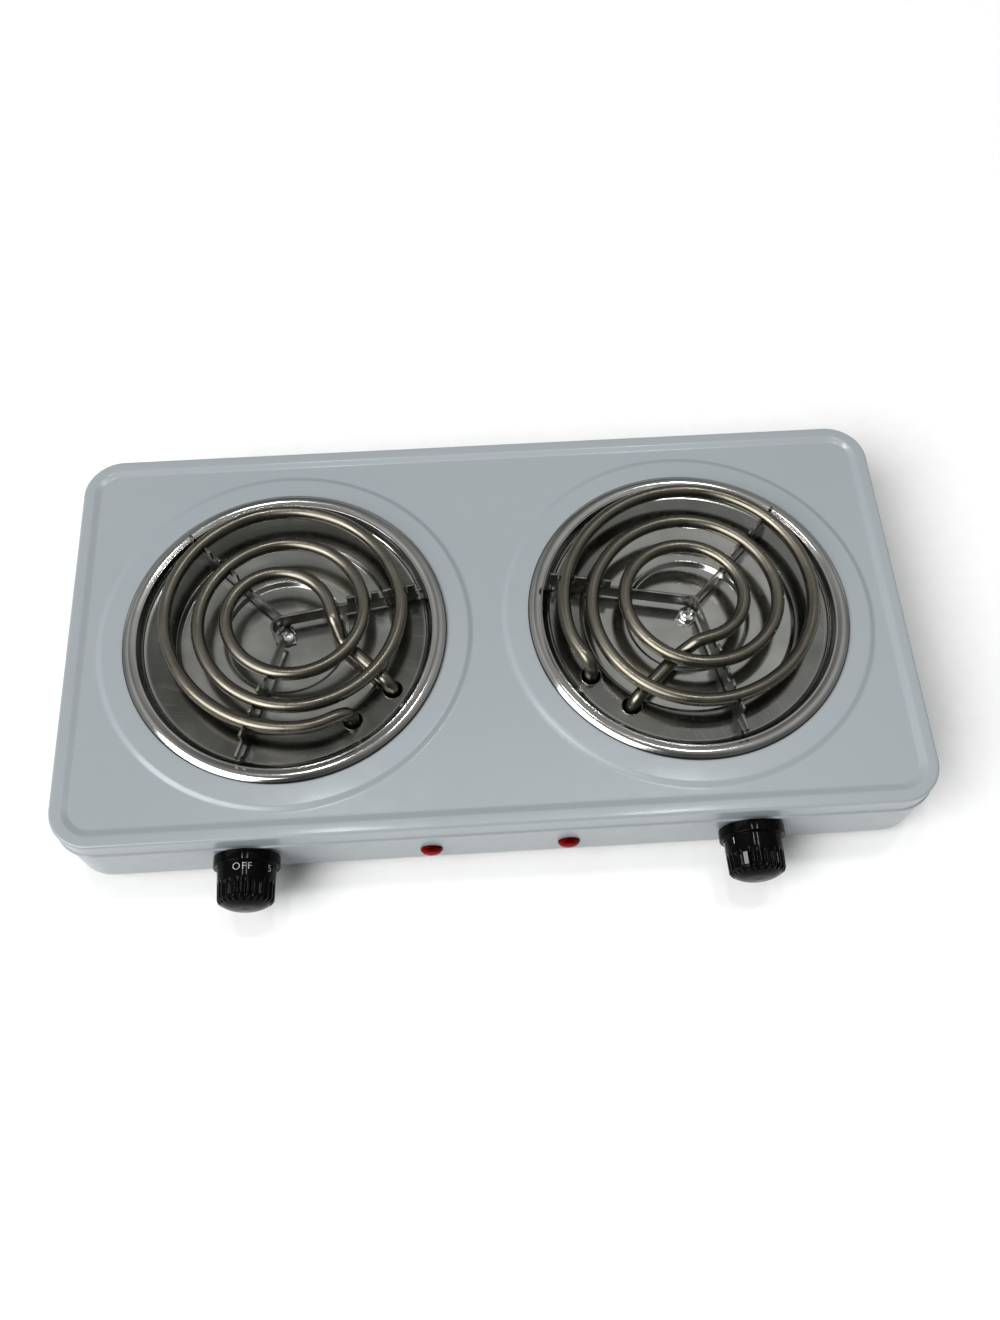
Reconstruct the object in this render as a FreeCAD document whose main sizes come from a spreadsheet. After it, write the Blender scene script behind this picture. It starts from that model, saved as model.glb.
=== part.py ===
import FreeCAD, Part
import math
import os
import re
import Sketcher
from FreeCAD import Placement, Rotation, Vector

# Twin-coil table hot plate. Millimetres, +X right, +Y to the back, +Z up.
# Origin: on the table, under the middle of the whole appliance, knobs included.

doc = FreeCAD.newDocument("hot_plate")
sheet = doc.addObject("Spreadsheet::Sheet", "sizes")

dimensions = [
    ("case_width", 480, "top cover, left to right"),
    ("case_depth", 247.5, "top cover, front to back"),
    ("case_height", 57, "table to the raised rim of the top cover"),
    ("case_corner", 24, "plan radius of the cover's corners"),
    ("sheet_metal", 0.8, "pressed steel of cover, shell and bottom"),
    ("shell_gap", 0.2, "between the cover's skirt and the shell inside it"),
    ("skirt_height", 14, "depth of the cover's skirt"),
    ("rim_bend", 2.5, "outside bend radius along the cover's rim"),
    ("rim_width", 6.5, "flat rim round the sunken deck"),
    ("rim_slope", 5.5, "width of the slope from rim to deck"),
    ("deck_drop", 2, "deck below rim and burner plateaus"),
    ("shell_headroom", 3, "shell's top edge below the rim"),
    ("flange_width", 12, "shell's inward flange at the bottom"),
    ("burner_pitch", 230.8, "between the two burner centres"),
    ("burner_shift", -1.25, "burner centres behind the cover's middle"),
    ("plateau_radius", 103, "flat top of a burner plateau"),
    ("plateau_slope", 5, "width of the plateau's sloping edge"),
    ("pan_radius", 92, "outer edge of a drip pan's rolled rim"),
    ("pan_bead", 3.6, "height of the rolled rim"),
    ("pan_bead_width", 9.2, "width of the rolled rim"),
    ("pan_depth", 3.2, "outer floor below the plateau"),
    ("pan_wall_lean", 4, "how far the pan wall leans in"),
    ("pan_step_radius", 60, "step in the pan floor"),
    ("pan_step", 2.1, "depth of that step"),
    ("pan_well_radius", 34, "round well in the middle of the pan"),
    ("pan_well", 2.2, "depth of the well"),
    ("pan_sheet", 0.5, "chromed steel of the pan"),
    ("pan_clearance", 1, "cover opening round the pan wall"),
    ("leg_clearance", 1.6, "pan hole round a coil leg"),
    ("leg_lip", 0.6, "rolled lip round that hole"),
    ("coil_tube", 3.8, "radius of the heating tube"),
    ("coil_rise", 11, "coil centreline above the plateau"),
    ("coil_pass", 8.3, "inner lead below the turns it passes under"),
    ("coil_leg", 40, "coil centreline to the end of the tube's legs"),
    ("lead_bend", 9, "bend radius of the tube's leads"),
    ("pin_radius", 1.25, "cold pin of the heating tube"),
    ("pin_length", 13, "pin below the tube's end"),
    ("bead_length", 4, "ceramic bead at the tube's end"),
    ("bead_radius", 3.4, "its radius"),
    ("support_sheet", 1.4, "strip steel of the coil support"),
    ("support_notch", 6.5, "height of its teeth beside the turns"),
    ("notch_play", 0.9, "between a tooth and the tube"),
    ("tooth_width", 4.5, "length of a tooth along its arm"),
    ("support_tab", 9, "width of the tab under the screw"),
    ("support_reach", 81, "end of the arms from the burner's centre"),
    ("arm_end", 4.5, "depth of an arm's end below the turns"),
    ("hub_leg", 2, "leg of an arm on the tab"),
    ("hub_slant", 2, "slant of an arm up from its leg"),
    ("hub_gap", 0.4, "collar clear of the screw's head"),
    ("arm_foot_margin", 2.5, "foot of an arm inside the pan's wall"),
    ("bridge_width", 18, "clamping strip under a pan"),
    ("bridge_sheet", 1.5, "its thickness"),
    ("bridge_end", 99, "reach of the strip under the plateau"),
    ("bridge_foot", 8, "length of its end flats"),
    ("burner_thread", 2.45, "radius of the burner screw"),
    ("burner_head", 5.2, "radius of its head"),
    ("burner_head_height", 3.4, "height of its head"),
    ("burner_screw_length", 11, "under its head"),
    ("thread_play", 0.05, "thread in its nut, radial"),
    ("screw_play", 0.25, "screw in a plain hole, radial"),
    ("foot_height", 8, "rubber foot"),
    ("foot_radius", 11, "its radius at the top"),
    ("foot_taper", 1.5, "narrower at the table"),
    ("foot_edge", 1, "rounding at the table"),
    ("foot_recess", 4.5, "recess for the screw head"),
    ("foot_side", 44, "feet's middles from the cover's sides"),
    ("foot_end", 31.75, "feet's middles from the cover's front and back"),
    ("small_thread", 1.95, "radius of the foot and earth screws"),
    ("small_head", 3.7, "radius of their heads"),
    ("small_head_height", 2.4, "height of their heads"),
    ("tap_thread", 1.45, "radius of the self-tapping screws"),
    ("tap_head", 2.9, "radius of their heads"),
    ("tap_head_height", 1.8, "height of their heads"),
    ("tap_length", 6, "under their heads"),
    ("cover_screw_near", 67, "inner screws at the back, from the middle"),
    ("cover_screw_far", 182, "outer screws at the back, from the middle"),
    ("cover_screw_drop", 8.2, "these screws below the rim"),
    ("plate_screw_end", 63.75, "bottom plate's screws from the cover's front and back"),
    ("vent_length", 52, "slot in the bottom plate"),
    ("vent_width", 4, "its width"),
    ("vent_pitch", 12, "between slots"),
    ("knob_x", 138, "knob axes from the middle"),
    ("knob_z", 29.5, "knob axes above the table"),
    ("knob_gap", 0.5, "between the cover's skirt and a knob"),
    ("knob_collar", 18, "radius of the knob's skirt"),
    ("knob_collar_height", 6.3, "length of the skirt"),
    ("knob_radius", 15.9, "knob behind the flutes"),
    ("knob_nose", 15.2, "knob at its front edge"),
    ("knob_length", 30.5, "wall to the tip of the knob"),
    ("knob_dome", 5.6, "rise of its domed face"),
    ("knob_edge", 1.2, "rounding of the knob's skirt"),
    ("knob_cavity", 12.5, "radius of the hollow at its back"),
    ("knob_cavity_depth", 9, "depth of that hollow from the wall"),
    ("flute_count", 24, "flutes round the knob"),
    ("flute_depth", 1.1, "depth of a flute"),
    ("flute_width", 2.8, "width of a flute at its mouth"),
    ("flute_length", 8, "length of the fluted band"),
    ("spindle_radius", 3, "thermostat spindle"),
    ("spindle_flat", 2.2, "its flat from the axis"),
    ("spindle_grip", 19, "spindle in front of the wall"),
    ("key_play", 0.03, "knob bore round the spindle"),
    ("running_play", 0.05, "spindle in its bush, radial"),
    ("bush_radius", 5, "threaded bush"),
    ("bush_flange", 8, "radius of its flange"),
    ("bush_flange_height", 2, "thickness of its flange"),
    ("bush_spigot", 4.5, "spigot through the thermostat's plate"),
    ("bush_nose", 5, "bush in front of the wall"),
    ("bush_nut_flats", 14, "nut on the bush, across flats"),
    ("bush_nut_height", 3, "its height"),
    ("frame_sheet", 1.2, "thermostat plate"),
    ("frame_height", 22, "its height"),
    ("stack_offset", 17, "ceramic stack from the spindle"),
    ("stack_radius", 5, "ceramic rings"),
    ("stack_first", 6, "first ring"),
    ("stack_second", 5, "second ring"),
    ("stack_third", 3, "third ring"),
    ("rivet_radius", 1.6, "rivet through the stack"),
    ("rivet_head", 2.8, "its heads"),
    ("blade_width", 8, "contact blades"),
    ("blade_sheet", 0.5, "spring blade"),
    ("bimetal_sheet", 0.8, "bimetal blade"),
    ("blade_reach", 14, "blades beyond the spindle"),
    ("tab_reach", 12, "blade tabs beyond the stack"),
    ("contact_radius", 2, "silver contacts"),
    ("contact_height", 1.4, "their height"),
    ("tip_play", 0.3, "spindle tip to the spring blade"),
    ("lamp_x", 38, "lamps from the middle"),
    ("lamp_z", 22.5, "lamps above the table"),
    ("lens_radius", 6.1, "red lens outside the wall"),
    ("lens_reach", 3.9, "lens in front of the wall"),
    ("lens_barrel", 4.8, "its barrel through the wall"),
    ("lens_depth", 12, "barrel behind the wall"),
    ("lens_wall", 1.4, "plastic of the lens"),
    ("lens_play", 0.2, "barrel in its hole"),
    ("bulb_length", 20, "neon bulb"),
    ("bulb_play", 0.3, "bulb in the barrel"),
    ("clip_radius", 8, "push-on clip behind the wall"),
    ("clip_sheet", 0.6, "its thickness"),
    ("inlet_z", 28, "cord inlet above the table"),
    ("inlet_hole", 7, "hole in the back wall"),
    ("inlet_flange", 10, "grommet flanges"),
    ("inlet_flange_height", 2.6, "thickness of a flange"),
    ("inlet_bore", 4, "grommet bore"),
    ("inlet_edge", 1, "rounding of the grommet"),
    ("block_width", 44, "terminal block"),
    ("block_depth", 18, "front to back"),
    ("block_height", 15, "its height"),
    ("block_end", 31.75, "its middle from the cover's back"),
    ("pole_pitch", 14, "between its poles"),
    ("wire_radius", 1.4, "insulated wire"),
    ("lead_radius", 0.7, "lamp lead"),
    ("crimp_radius", 2.6, "crimped sleeve on a pin"),
    ("crimp_length", 8, "its length"),
]
for row, (alias, value, note) in enumerate(dimensions, start=1):
    sheet.set(f"A{row}", note)
    sheet.set(f"B{row}", str(value))
    sheet.setAlias(f"B{row}", alias)
doc.recompute()
aliases = {alias for alias, _, _ in dimensions}

sides = {"left": -1, "right": 1}
upright = Rotation()
facing_front = Rotation(Vector(1, 0, 0), 90)
facing_back = Rotation(Vector(1, 0, 0), -90)
facing_down = Rotation(Vector(1, 0, 0), 180)
nodes = []


def bound(text):
    # An expression with the sheet's name in front of each of its aliases.
    return re.sub(r"[a-z_]+", lambda word: "sizes." * (word[0] in aliases) + word[0], str(text))


def size(text):
    return float(sheet.evalExpression(bound(text)))


# Places that several pieces share, as expressions of the sheet.
case_y = "(knob_length - shell_gap - sheet_metal - tap_head_height)/2"
shell_inset = "(sheet_metal + shell_gap)"
wall_front = f"({case_y} - case_depth/2 + {shell_inset})"
wall_back = f"({case_y} + case_depth/2 - {shell_inset})"
wall_inside = f"({wall_front} + sheet_metal)"
floor_top = "(foot_height + sheet_metal)"
burner_y = f"({case_y} + burner_shift)"
wall_radius = "(pan_radius - pan_bead_width)"
floor_radius = f"({wall_radius} - pan_wall_lean)"
bulb_nose = "(lens_wall - bulb_play*2)"
well_z = "(case_height - pan_depth - pan_step - pan_well)"
block_y = f"({case_y} + case_depth/2 - block_end)"


def burner_x(sign):
    return f"({sign}*burner_pitch/2)"


def node(piece, label):
    piece.Label = label
    nodes.append(piece)
    return piece


def place(piece, at, turn=upright):
    piece.Placement = Placement(Vector(*[size(value) for value in at]), turn)
    for axis, value in zip("xyz", at):
        piece.setExpression(f"Placement.Base.{axis}", bound(value))
    return piece


def cylinder(name, radius, height, at, turn=upright):
    piece = doc.addObject("Part::Cylinder", name)
    piece.setExpression("Radius", bound(radius))
    piece.setExpression("Height", bound(height))
    return place(piece, at, turn)


def cone(name, lower, upper, height, at):
    piece = doc.addObject("Part::Cone", name)
    piece.setExpression("Radius1", bound(lower))
    piece.setExpression("Radius2", bound(upper))
    piece.setExpression("Height", bound(height))
    return place(piece, at)


def box(name, length, width, height, centre, turn=upright):
    # Centred on X and Y of its place, standing on its Z.
    piece = doc.addObject("Part::Box", name)
    piece.setExpression("Length", bound(length))
    piece.setExpression("Width", bound(width))
    piece.setExpression("Height", bound(height))
    corner = (f"{centre[0]} - ({length})/2", f"{centre[1]} - ({width})/2", centre[2])
    return place(piece, corner, turn)


def hexagon(name, flats, height, at, turn=upright):
    piece = doc.addObject("Part::Prism", name)
    piece.Polygon = 6
    piece.setExpression("Circumradius", bound(f"({flats})/2/cos(30 deg)"))
    piece.setExpression("Height", bound(height))
    return place(piece, at, turn)


def fuse(name, *pieces):
    piece = doc.addObject("Part::MultiFuse", name)
    piece.Shapes = list(pieces)
    return piece


def group(name, pieces):
    piece = doc.addObject("Part::Compound", name)
    piece.Links = list(pieces)
    return piece


def cut(name, base, *tools):
    piece = doc.addObject("Part::Cut", name)
    piece.Base = base
    piece.Tool = tools[0] if len(tools) == 1 else group(name + "_tools", tools)
    return piece


def feature(name, shape):
    piece = doc.addObject("Part::Feature", name)
    piece.Shape = shape
    return piece


def origin_plane(body, role):
    return [item for item in body.Origin.OriginFeatures if item.Role == role][0]


def pin_point(sketch, point, corner):
    # Ties a corner point of an outline to two expressions.
    for kind, axis, text in (("DistanceX", -2, corner[0]), ("DistanceY", -1, corner[1])):
        if abs(size(text)) < 1e-9:
            sketch.addConstraint(Sketcher.Constraint("PointOnObject", point, 1, axis))
            continue
        index = sketch.addConstraint(Sketcher.Constraint(kind, -1, 1, point, 1, size(text)))
        sketch.setExpression(f"Constraints[{index}]", bound(text))


def outline(body, name, role, corners, level="0"):
    # A closed outline through corners (x, y) or rounded corners (x, y, radius).
    sketch = body.newObject("Sketcher::SketchObject", name)
    sketch.AttachmentSupport = [(origin_plane(body, role), "")]
    sketch.MapMode = "FlatFace"
    sketch.AttachmentOffset = Placement(Vector(0, 0, size(level)), upright)
    sketch.setExpression("AttachmentOffset.Base.z", bound(level))
    count = len(corners)
    points = [Vector(size(corner[0]), size(corner[1]), 0) for corner in corners]
    radii = [size(corner[2]) if len(corner) > 2 else 0 for corner in corners]
    back = [(points[i - 1] - points[i]).normalize() for i in range(count)]
    ahead = [(points[(i + 1) % count] - points[i]).normalize() for i in range(count)]
    reach = [radii[i] / math.tan(back[i].getAngle(ahead[i]) / 2) for i in range(count)]
    enter = [points[i] + back[i] * reach[i] for i in range(count)]
    leave = [points[i] + ahead[i] * reach[i] for i in range(count)]
    lines = [sketch.addGeometry(Part.LineSegment(leave[i], enter[(i + 1) % count])) for i in range(count)]
    for i in range(count):
        point = sketch.addGeometry(Part.Point(points[i]), True)
        pin_point(sketch, point, corners[i])
        if not radii[i]:
            sketch.addConstraint(Sketcher.Constraint("Coincident", lines[i - 1], 2, point, 1))
            sketch.addConstraint(Sketcher.Constraint("Coincident", lines[i], 1, point, 1))
            continue
        inward = (back[i] + ahead[i]).normalize()
        centre = points[i] + inward * (radii[i] / math.sin(back[i].getAngle(ahead[i]) / 2))
        turns_left = back[i].cross(ahead[i]).z < 0
        ends = (enter[i], leave[i]) if turns_left else (leave[i], enter[i])
        angles = [math.atan2((end - centre).y, (end - centre).x) for end in ends]
        circle = Part.Circle(centre, Vector(0, 0, 1), radii[i])
        arc = sketch.addGeometry(Part.ArcOfCircle(circle, *angles))
        first, second = (1, 2) if turns_left else (2, 1)
        sketch.addConstraint(Sketcher.Constraint("Tangent", lines[i - 1], 2, arc, first))
        sketch.addConstraint(Sketcher.Constraint("Tangent", arc, second, lines[i], 1))
        sketch.addConstraint(Sketcher.Constraint("PointOnObject", point, 1, lines[i - 1]))
        sketch.addConstraint(Sketcher.Constraint("PointOnObject", point, 1, lines[i]))
        index = sketch.addConstraint(Sketcher.Constraint("Radius", arc, radii[i]))
        sketch.setExpression(f"Constraints[{index}]", bound(corners[i][2]))
    return sketch


def turned(name, corners, at=("0", "0", "0"), turn=upright):
    # A solid turned about its own Z axis; corners are (radius, height).
    body = doc.addObject("PartDesign::Body", name)
    sketch = outline(body, name + "_profile", "XZ_Plane", corners)
    turning = body.newObject("PartDesign::Revolution", name + "_turning")
    turning.Profile = sketch
    turning.ReferenceAxis = (sketch, ["V_Axis"])
    turning.Angle = 360
    return place(body, at, turn)


def plate_corners(inset, corner):
    half_width = f"(case_width/2 - {inset})"
    half_depth = f"(case_depth/2 - {inset})"
    spots = ((-1, -1), (1, -1), (1, 1), (-1, 1))
    return [(f"{x}*{half_width}", f"{y}*{half_depth}", corner) for x, y in spots]


def rounded_plate(name, inset, bottom, height):
    # A plate with the case's plan, drawn in from the cover's outline.
    body = doc.addObject("PartDesign::Body", name)
    sketch = outline(body, name + "_plan", "XY_Plane", plate_corners(inset, f"(case_corner - {inset})"))
    pad = body.newObject("PartDesign::Pad", name + "_pad")
    pad.Profile = sketch
    pad.setExpression("Length", bound(height))
    return place(body, ("0", case_y, bottom))


def screw(name, thread, head, head_height, length, at, turn):
    # Pan head with a cross recess; its head points along its own Z.
    corners = [("0", f"-({length})"), (thread, f"-({length})"), (thread, "0"), (head, "0"),
               (head, head_height, f"({head_height})*0.7"), ("0", head_height)]
    body = turned(name, corners, at, turn)
    cross = []
    for x, y in ((1, 1), (-1, 1), (-1, -1), (1, -1)):
        arm = [(0.6 * x, 0.15 * y), (0.15 * x, 0.15 * y), (0.15 * x, 0.6 * y)]
        cross += [(f"{a}*{head}", f"{b}*{head}") for a, b in (arm if x * y > 0 else arm[::-1])]
    recess = body.newObject("PartDesign::Pocket", name + "_recess")
    recess.Profile = outline(body, name + "_cross", "XY_Plane", cross, f"{head_height}*0.5")
    recess.setExpression("Length", bound(head_height))
    recess.Reversed = True
    body.Tip = recess
    return body


def rounded_run(points, radii):
    # Straight runs through the points, joined by tangent arcs at the inner ones.
    edges = []
    start = points[0]
    for i in range(1, len(points) - 1):
        back = (points[i - 1] - points[i]).normalize()
        ahead = (points[i + 1] - points[i]).normalize()
        half = back.getAngle(ahead) / 2
        reach = radii[i - 1] / math.tan(half)
        centre = points[i] + (back + ahead).normalize() * (radii[i - 1] / math.sin(half))
        enter = points[i] + back * reach
        leave = points[i] + ahead * reach
        middle = centre + (points[i] - centre).normalize() * radii[i - 1]
        if (enter - start).Length > 1e-6:
            edges.append(Part.LineSegment(start, enter).toShape())
        edges.append(Part.Arc(enter, middle, leave).toShape())
        start = leave
    edges.append(Part.LineSegment(start, points[-1]).toShape())
    return edges


def tube(edges, radius):
    # A round tube along tangent edges, its volume compared with section times length.
    path = Part.Wire(edges)
    first = edges[0]
    start = first.valueAt(first.FirstParameter)
    section = Part.Circle(start, first.tangentAt(first.FirstParameter), radius)
    solid = path.makePipeShell([Part.Wire(section.toShape())], True, False)
    expected = math.pi * radius ** 2 * path.Length
    if abs(solid.Volume - expected) > expected * 0.01:
        raise ValueError(f"tube volume {solid.Volume:.1f}, expected {expected:.1f}")
    return solid


def strip(points, radii, thickness):
    # The cross-section of a bent sheet whose upper face follows the points in XZ.
    path = Part.Wire(rounded_run(points, radii))
    return path.makeOffset2D(thickness, 0, True, True)


# Casing


def cover_form(name, inset, drop, skirt):
    body = doc.addObject("PartDesign::Body", name + "_block")
    plan = outline(body, name + "_plan", "XY_Plane", plate_corners(inset, f"(case_corner - {inset})"))
    pad = body.newObject("PartDesign::Pad", name + "_pad")
    pad.Profile = plan
    pad.setExpression("Length", bound(f"{skirt} - {drop}"))
    doc.recompute()
    top = pad.Shape.BoundBox.ZMax
    rim = [f"Edge{i}" for i, edge in enumerate(pad.Shape.Edges, 1) if edge.BoundBox.ZMin > top - 1e-4]
    bend = body.newObject("PartDesign::Fillet", name + "_bend")
    bend.Base = (pad, rim)
    bend.setExpression("Radius", bound(f"rim_bend - {inset}"))
    level = f"{skirt} - {drop}"
    wide = plate_corners("rim_width", "(case_corner - rim_width)")
    narrow = plate_corners("(rim_width + rim_slope)", "(case_corner - rim_width - rim_slope)")
    recess = body.newObject("PartDesign::SubtractiveLoft", name + "_recess")
    recess.Profile = outline(body, name + "_recess_top", "XY_Plane", wide, level)
    recess.Sections = [outline(body, name + "_recess_floor", "XY_Plane", narrow, f"{level} - deck_drop")]
    recess.Ruled = True
    body.Tip = recess
    place(body, ("0", case_y, f"case_height - {skirt}"))
    raised = []
    for side, sign in sides.items():
        spot = (burner_x(sign), burner_y, f"case_height - {drop} - deck_drop")
        outer = "plateau_radius + plateau_slope"
        raised.append(cone(f"{name}_plateau_{side}", outer, "plateau_radius", "deck_drop", spot))
    return fuse(name, body, *raised)


def top_cover():
    outside = cover_form("cover_outside", "0", "0", "skirt_height")
    inside = cover_form("cover_inside", "sheet_metal", "sheet_metal", "(skirt_height + 1)")
    cuts = [inside]
    for side, sign in sides.items():
        spot = (burner_x(sign), burner_y, "case_height - 20")
        cuts.append(cylinder(f"burner_opening_{side}", f"{wall_radius} + pan_clearance", "40", spot))
    for index, (x, z) in enumerate(cover_screw_spots):
        spot = (x, f"{case_y} + case_depth/2 - 5", z)
        cuts.append(cylinder(f"cover_hole{index}", "tap_thread + thread_play", "10", spot, facing_back))
    node(cut("top_cover", outside, *cuts), "top_cover")


cover_screw_spots = [(f"{sign}*{place_x}", "case_height - cover_screw_drop")
                     for sign in (-1, 1) for place_x in ("cover_screw_near", "cover_screw_far")]
plate_screw_spots = [(f"{x}*(case_width/2 - {shell_inset} - flange_width*0.6)",
                      f"{case_y} + {y}*(case_depth/2 - plate_screw_end)") for x in (-1, 1) for y in (-1, 1)]
foot_x = "(case_width/2 - foot_side)"
foot_y = "(case_depth/2 - foot_end)"
foot_spots = {"front_left": (-1, -1), "front_right": (1, -1), "back_left": (-1, 1), "back_right": (1, 1)}
earth_spot = ("pole_pitch*3", f"{block_y} - block_depth*2")


def body_shell():
    top = f"case_height - shell_headroom - {floor_top}"
    outside = rounded_plate("shell_outside", shell_inset, floor_top, top)
    inner = f"({shell_inset} + sheet_metal)"
    inside = rounded_plate("shell_inside", inner, f"{floor_top} + sheet_metal", top)
    opening = rounded_plate("shell_opening", f"({inner} + flange_width)", f"{floor_top} - 1", "5")
    cuts = [inside, opening]
    for side, sign in sides.items():
        knob = (f"{sign}*knob_x", f"{wall_inside} + 5", "knob_z")
        cuts.append(cylinder(f"bush_hole_{side}", "bush_radius + screw_play", "10", knob, facing_front))
        lamp = (f"{sign}*lamp_x", f"{wall_inside} + 5", "lamp_z")
        cuts.append(cylinder(f"lamp_hole_{side}", "lens_barrel + lens_play", "10", lamp, facing_front))
    inlet = ("0", f"{wall_back} - 5", "inlet_z")
    cuts.append(cylinder("inlet_opening", "inlet_hole", "10", inlet, facing_back))
    for index, (x, z) in enumerate(cover_screw_spots):
        spot = (x, f"{wall_back} - 5", z)
        cuts.append(cylinder(f"back_hole{index}", "tap_thread + thread_play", "10", spot, facing_back))
    for index, (x, y) in enumerate(plate_screw_spots):
        spot = (x, y, f"{floor_top} - 1")
        cuts.append(cylinder(f"flange_hole{index}", "tap_thread + thread_play", "5", spot))
    node(cut("body_shell", outside, *cuts), "body_shell")


def bottom_plate():
    sheet_plate = rounded_plate("bottom_blank", shell_inset, "foot_height", "sheet_metal")
    cuts = []
    for index, (x, y) in enumerate(plate_screw_spots):
        spot = (x, y, "foot_height - 1")
        cuts.append(cylinder(f"plate_hole{index}", "tap_thread + screw_play", "5", spot))
    for corner, (x, y) in foot_spots.items():
        spot = (f"{x}*{foot_x}", f"{case_y} + {y}*{foot_y}", "foot_height - 1")
        cuts.append(cylinder(f"foot_hole_{corner}", "small_thread + screw_play", "5", spot))
    earth = (*earth_spot, "foot_height - 1")
    cuts.append(cylinder("earth_hole", "small_thread + screw_play", "5", earth))
    for pole, x in enumerate((-1, 1)):
        spot = (f"{x}*pole_pitch/2", block_y, "foot_height - 1")
        cuts.append(cylinder(f"block_hole{pole}", "tap_thread + screw_play", "5", spot))
    for side, sign in sides.items():
        for slot in range(-3, 4):
            spot = (f"{burner_x(sign)} + {slot}*vent_pitch", case_y, "foot_height - 1")
            cuts.append(box(f"vent_{side}{slot + 3}", "vent_width", "vent_length", "5", spot))
    node(cut("bottom_plate", sheet_plate, *cuts), "bottom_plate")


def feet():
    screws = []
    nuts = []
    for corner, (x, y) in foot_spots.items():
        at = (f"{x}*{foot_x}", f"{case_y} + {y}*{foot_y}", "0")
        bore = "small_thread + screw_play"
        recess = "small_head + screw_play*2"
        corners = [(recess, "0"), ("foot_radius - foot_taper", "0", "foot_edge"),
                   ("foot_radius", "foot_height"), (bore, "foot_height"), (bore, "foot_recess"),
                   (recess, "foot_recess")]
        node(turned(f"foot_{corner}", corners, at), f"foot_{corner}")
        seat = (at[0], at[1], "foot_recess")
        length = "foot_height - foot_recess + sheet_metal + small_thread*3"
        screws.append(screw(f"foot_screw_{corner}", "small_thread", "small_head", "small_head_height",
                            length, seat, facing_down))
        top = (at[0], at[1], floor_top)
        blank = hexagon(f"foot_nut_blank_{corner}", "small_thread*3.6", "small_thread*1.6", top)
        hole = cylinder(f"foot_nut_bore_{corner}", "small_thread + thread_play", "20", (at[0], at[1], "0"))
        nuts.append(cut(f"foot_nut_{corner}", blank, hole))
    node(group("foot_screws", screws), "foot_screws")
    node(group("foot_nuts", nuts), "foot_nuts")


def casing_screws():
    plate = [screw(f"plate_screw{index}", "tap_thread", "tap_head", "tap_head_height", "tap_length",
                   (x, y, "foot_height"), facing_down) for index, (x, y) in enumerate(plate_screw_spots)]
    node(group("plate_screws", plate), "plate_screws")
    back = f"{case_y} + case_depth/2"
    cover = [screw(f"cover_screw{index}", "tap_thread", "tap_head", "tap_head_height", "tap_length",
                   (x, back, z), facing_back) for index, (x, z) in enumerate(cover_screw_spots)]
    node(group("cover_screws", cover), "cover_screws")


# Burners. Each heating tube is bent from its inner end outwards in quarter turns.

coil_bends = {
    "left": {"start": (26.5, 10), "heading": 105, "last_turn": 76,
             "radii": (30.5, 28.5, 38.5, 40, 45, 49.5, 55.5, 60, 67.5, 65.5, 75)},
    "right": {"start": (10, -22.5), "heading": 15, "last_turn": 83,
              "radii": (28, 34, 34, 44, 43, 51.5, 56, 60.5, 68, 69, 74.5)},
}
tail_radius = 45
tail_turn = 22
tail_run = 12.5
inner_lead = ((-10, 0), (-21.5, -1.5), (-55.4, -20.1))
support_hubs = {"left": (-1.1, 6.4), "right": (4.2, 5)}
support_arms = {
    "left": (((-1.1, 6.4), 9.6), ((-1.1, 6.4), 135), ((-0.6, -6.9), 251.5)),
    "right": (((4.2, 5), 46.5), ((4.2, 5), 168.6), ((4.2, 5), 282)),
}
support_collars = {"left": (95, 268), "right": None}


def heading_vector(degrees):
    return Vector(math.cos(math.radians(degrees)), math.sin(math.radians(degrees)), 0)


def coil_path(side):
    # Edges of the tube's centreline about the burner's centre, with its two legs' places.
    bends = coil_bends[side]
    rise = size("coil_rise")
    lower = size("coil_rise - coil_pass")
    leg_end = size("coil_rise - coil_leg")
    along = heading_vector(bends["heading"])
    across = heading_vector(bends["heading"] + 90)
    spot = Vector(*bends["start"], rise)
    risen, dipped, inner = [spot + along * ahead + across * aside for ahead, aside in inner_lead]
    dipped.z = lower
    inner_top = Vector(inner.x, inner.y, lower)
    inner_end = Vector(inner.x, inner.y, leg_end)
    bend = size("lead_bend")
    edges = rounded_run([inner_end, inner_top, dipped, risen, spot], [bend, bend, bend])
    heading = bends["heading"]
    turns = [(radius, 90) for radius in bends["radii"][:-1]]
    turns += [(bends["radii"][-1], bends["last_turn"]), (tail_radius, tail_turn)]
    for radius, sweep in turns:
        centre = spot + heading_vector(heading + 90) * radius
        middle = centre - heading_vector(heading + sweep / 2 + 90) * radius
        end = centre - heading_vector(heading + sweep + 90) * radius
        edges.append(Part.Arc(spot, middle, end).toShape())
        spot = end
        heading += sweep
    outer_top = spot + heading_vector(heading) * tail_run
    outer_end = Vector(outer_top.x, outer_top.y, leg_end)
    edges += rounded_run([spot, outer_top, outer_end], [bend])
    return edges, (inner_end, outer_end)


def path_points(edges, step=1.5):
    points = []
    for edge in edges:
        points += edge.discretize(max(2, int(edge.Length / step) + 1))[:-1]
    return points


def least_gap(points, radius, apart=24):
    near = min((a - b).Length for i, a in enumerate(points) for b in points[i + apart:])
    return near - 2 * radius


def arm_crossings(side, hub, heading):
    # Distances from the hub at which an arm passes under the coil's turns.
    rise = size("coil_rise")
    along = heading_vector(heading)
    across = heading_vector(heading + 90)
    offsets = [point - hub for point in path_points(coil_paths[side][0]) if abs(point.z - rise) < 0.01]
    found = []
    for a, b in zip(offsets, offsets[1:]):
        if a.dot(across) * b.dot(across) < 0 < a.dot(along) and (a - b).Length < 4:
            found.append((a.dot(along) + b.dot(along)) / 2)
    return sorted(found)


def burner_place(sign):
    return Placement(Vector(size(burner_x(sign)), size(burner_y), size("case_height")), upright)


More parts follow.
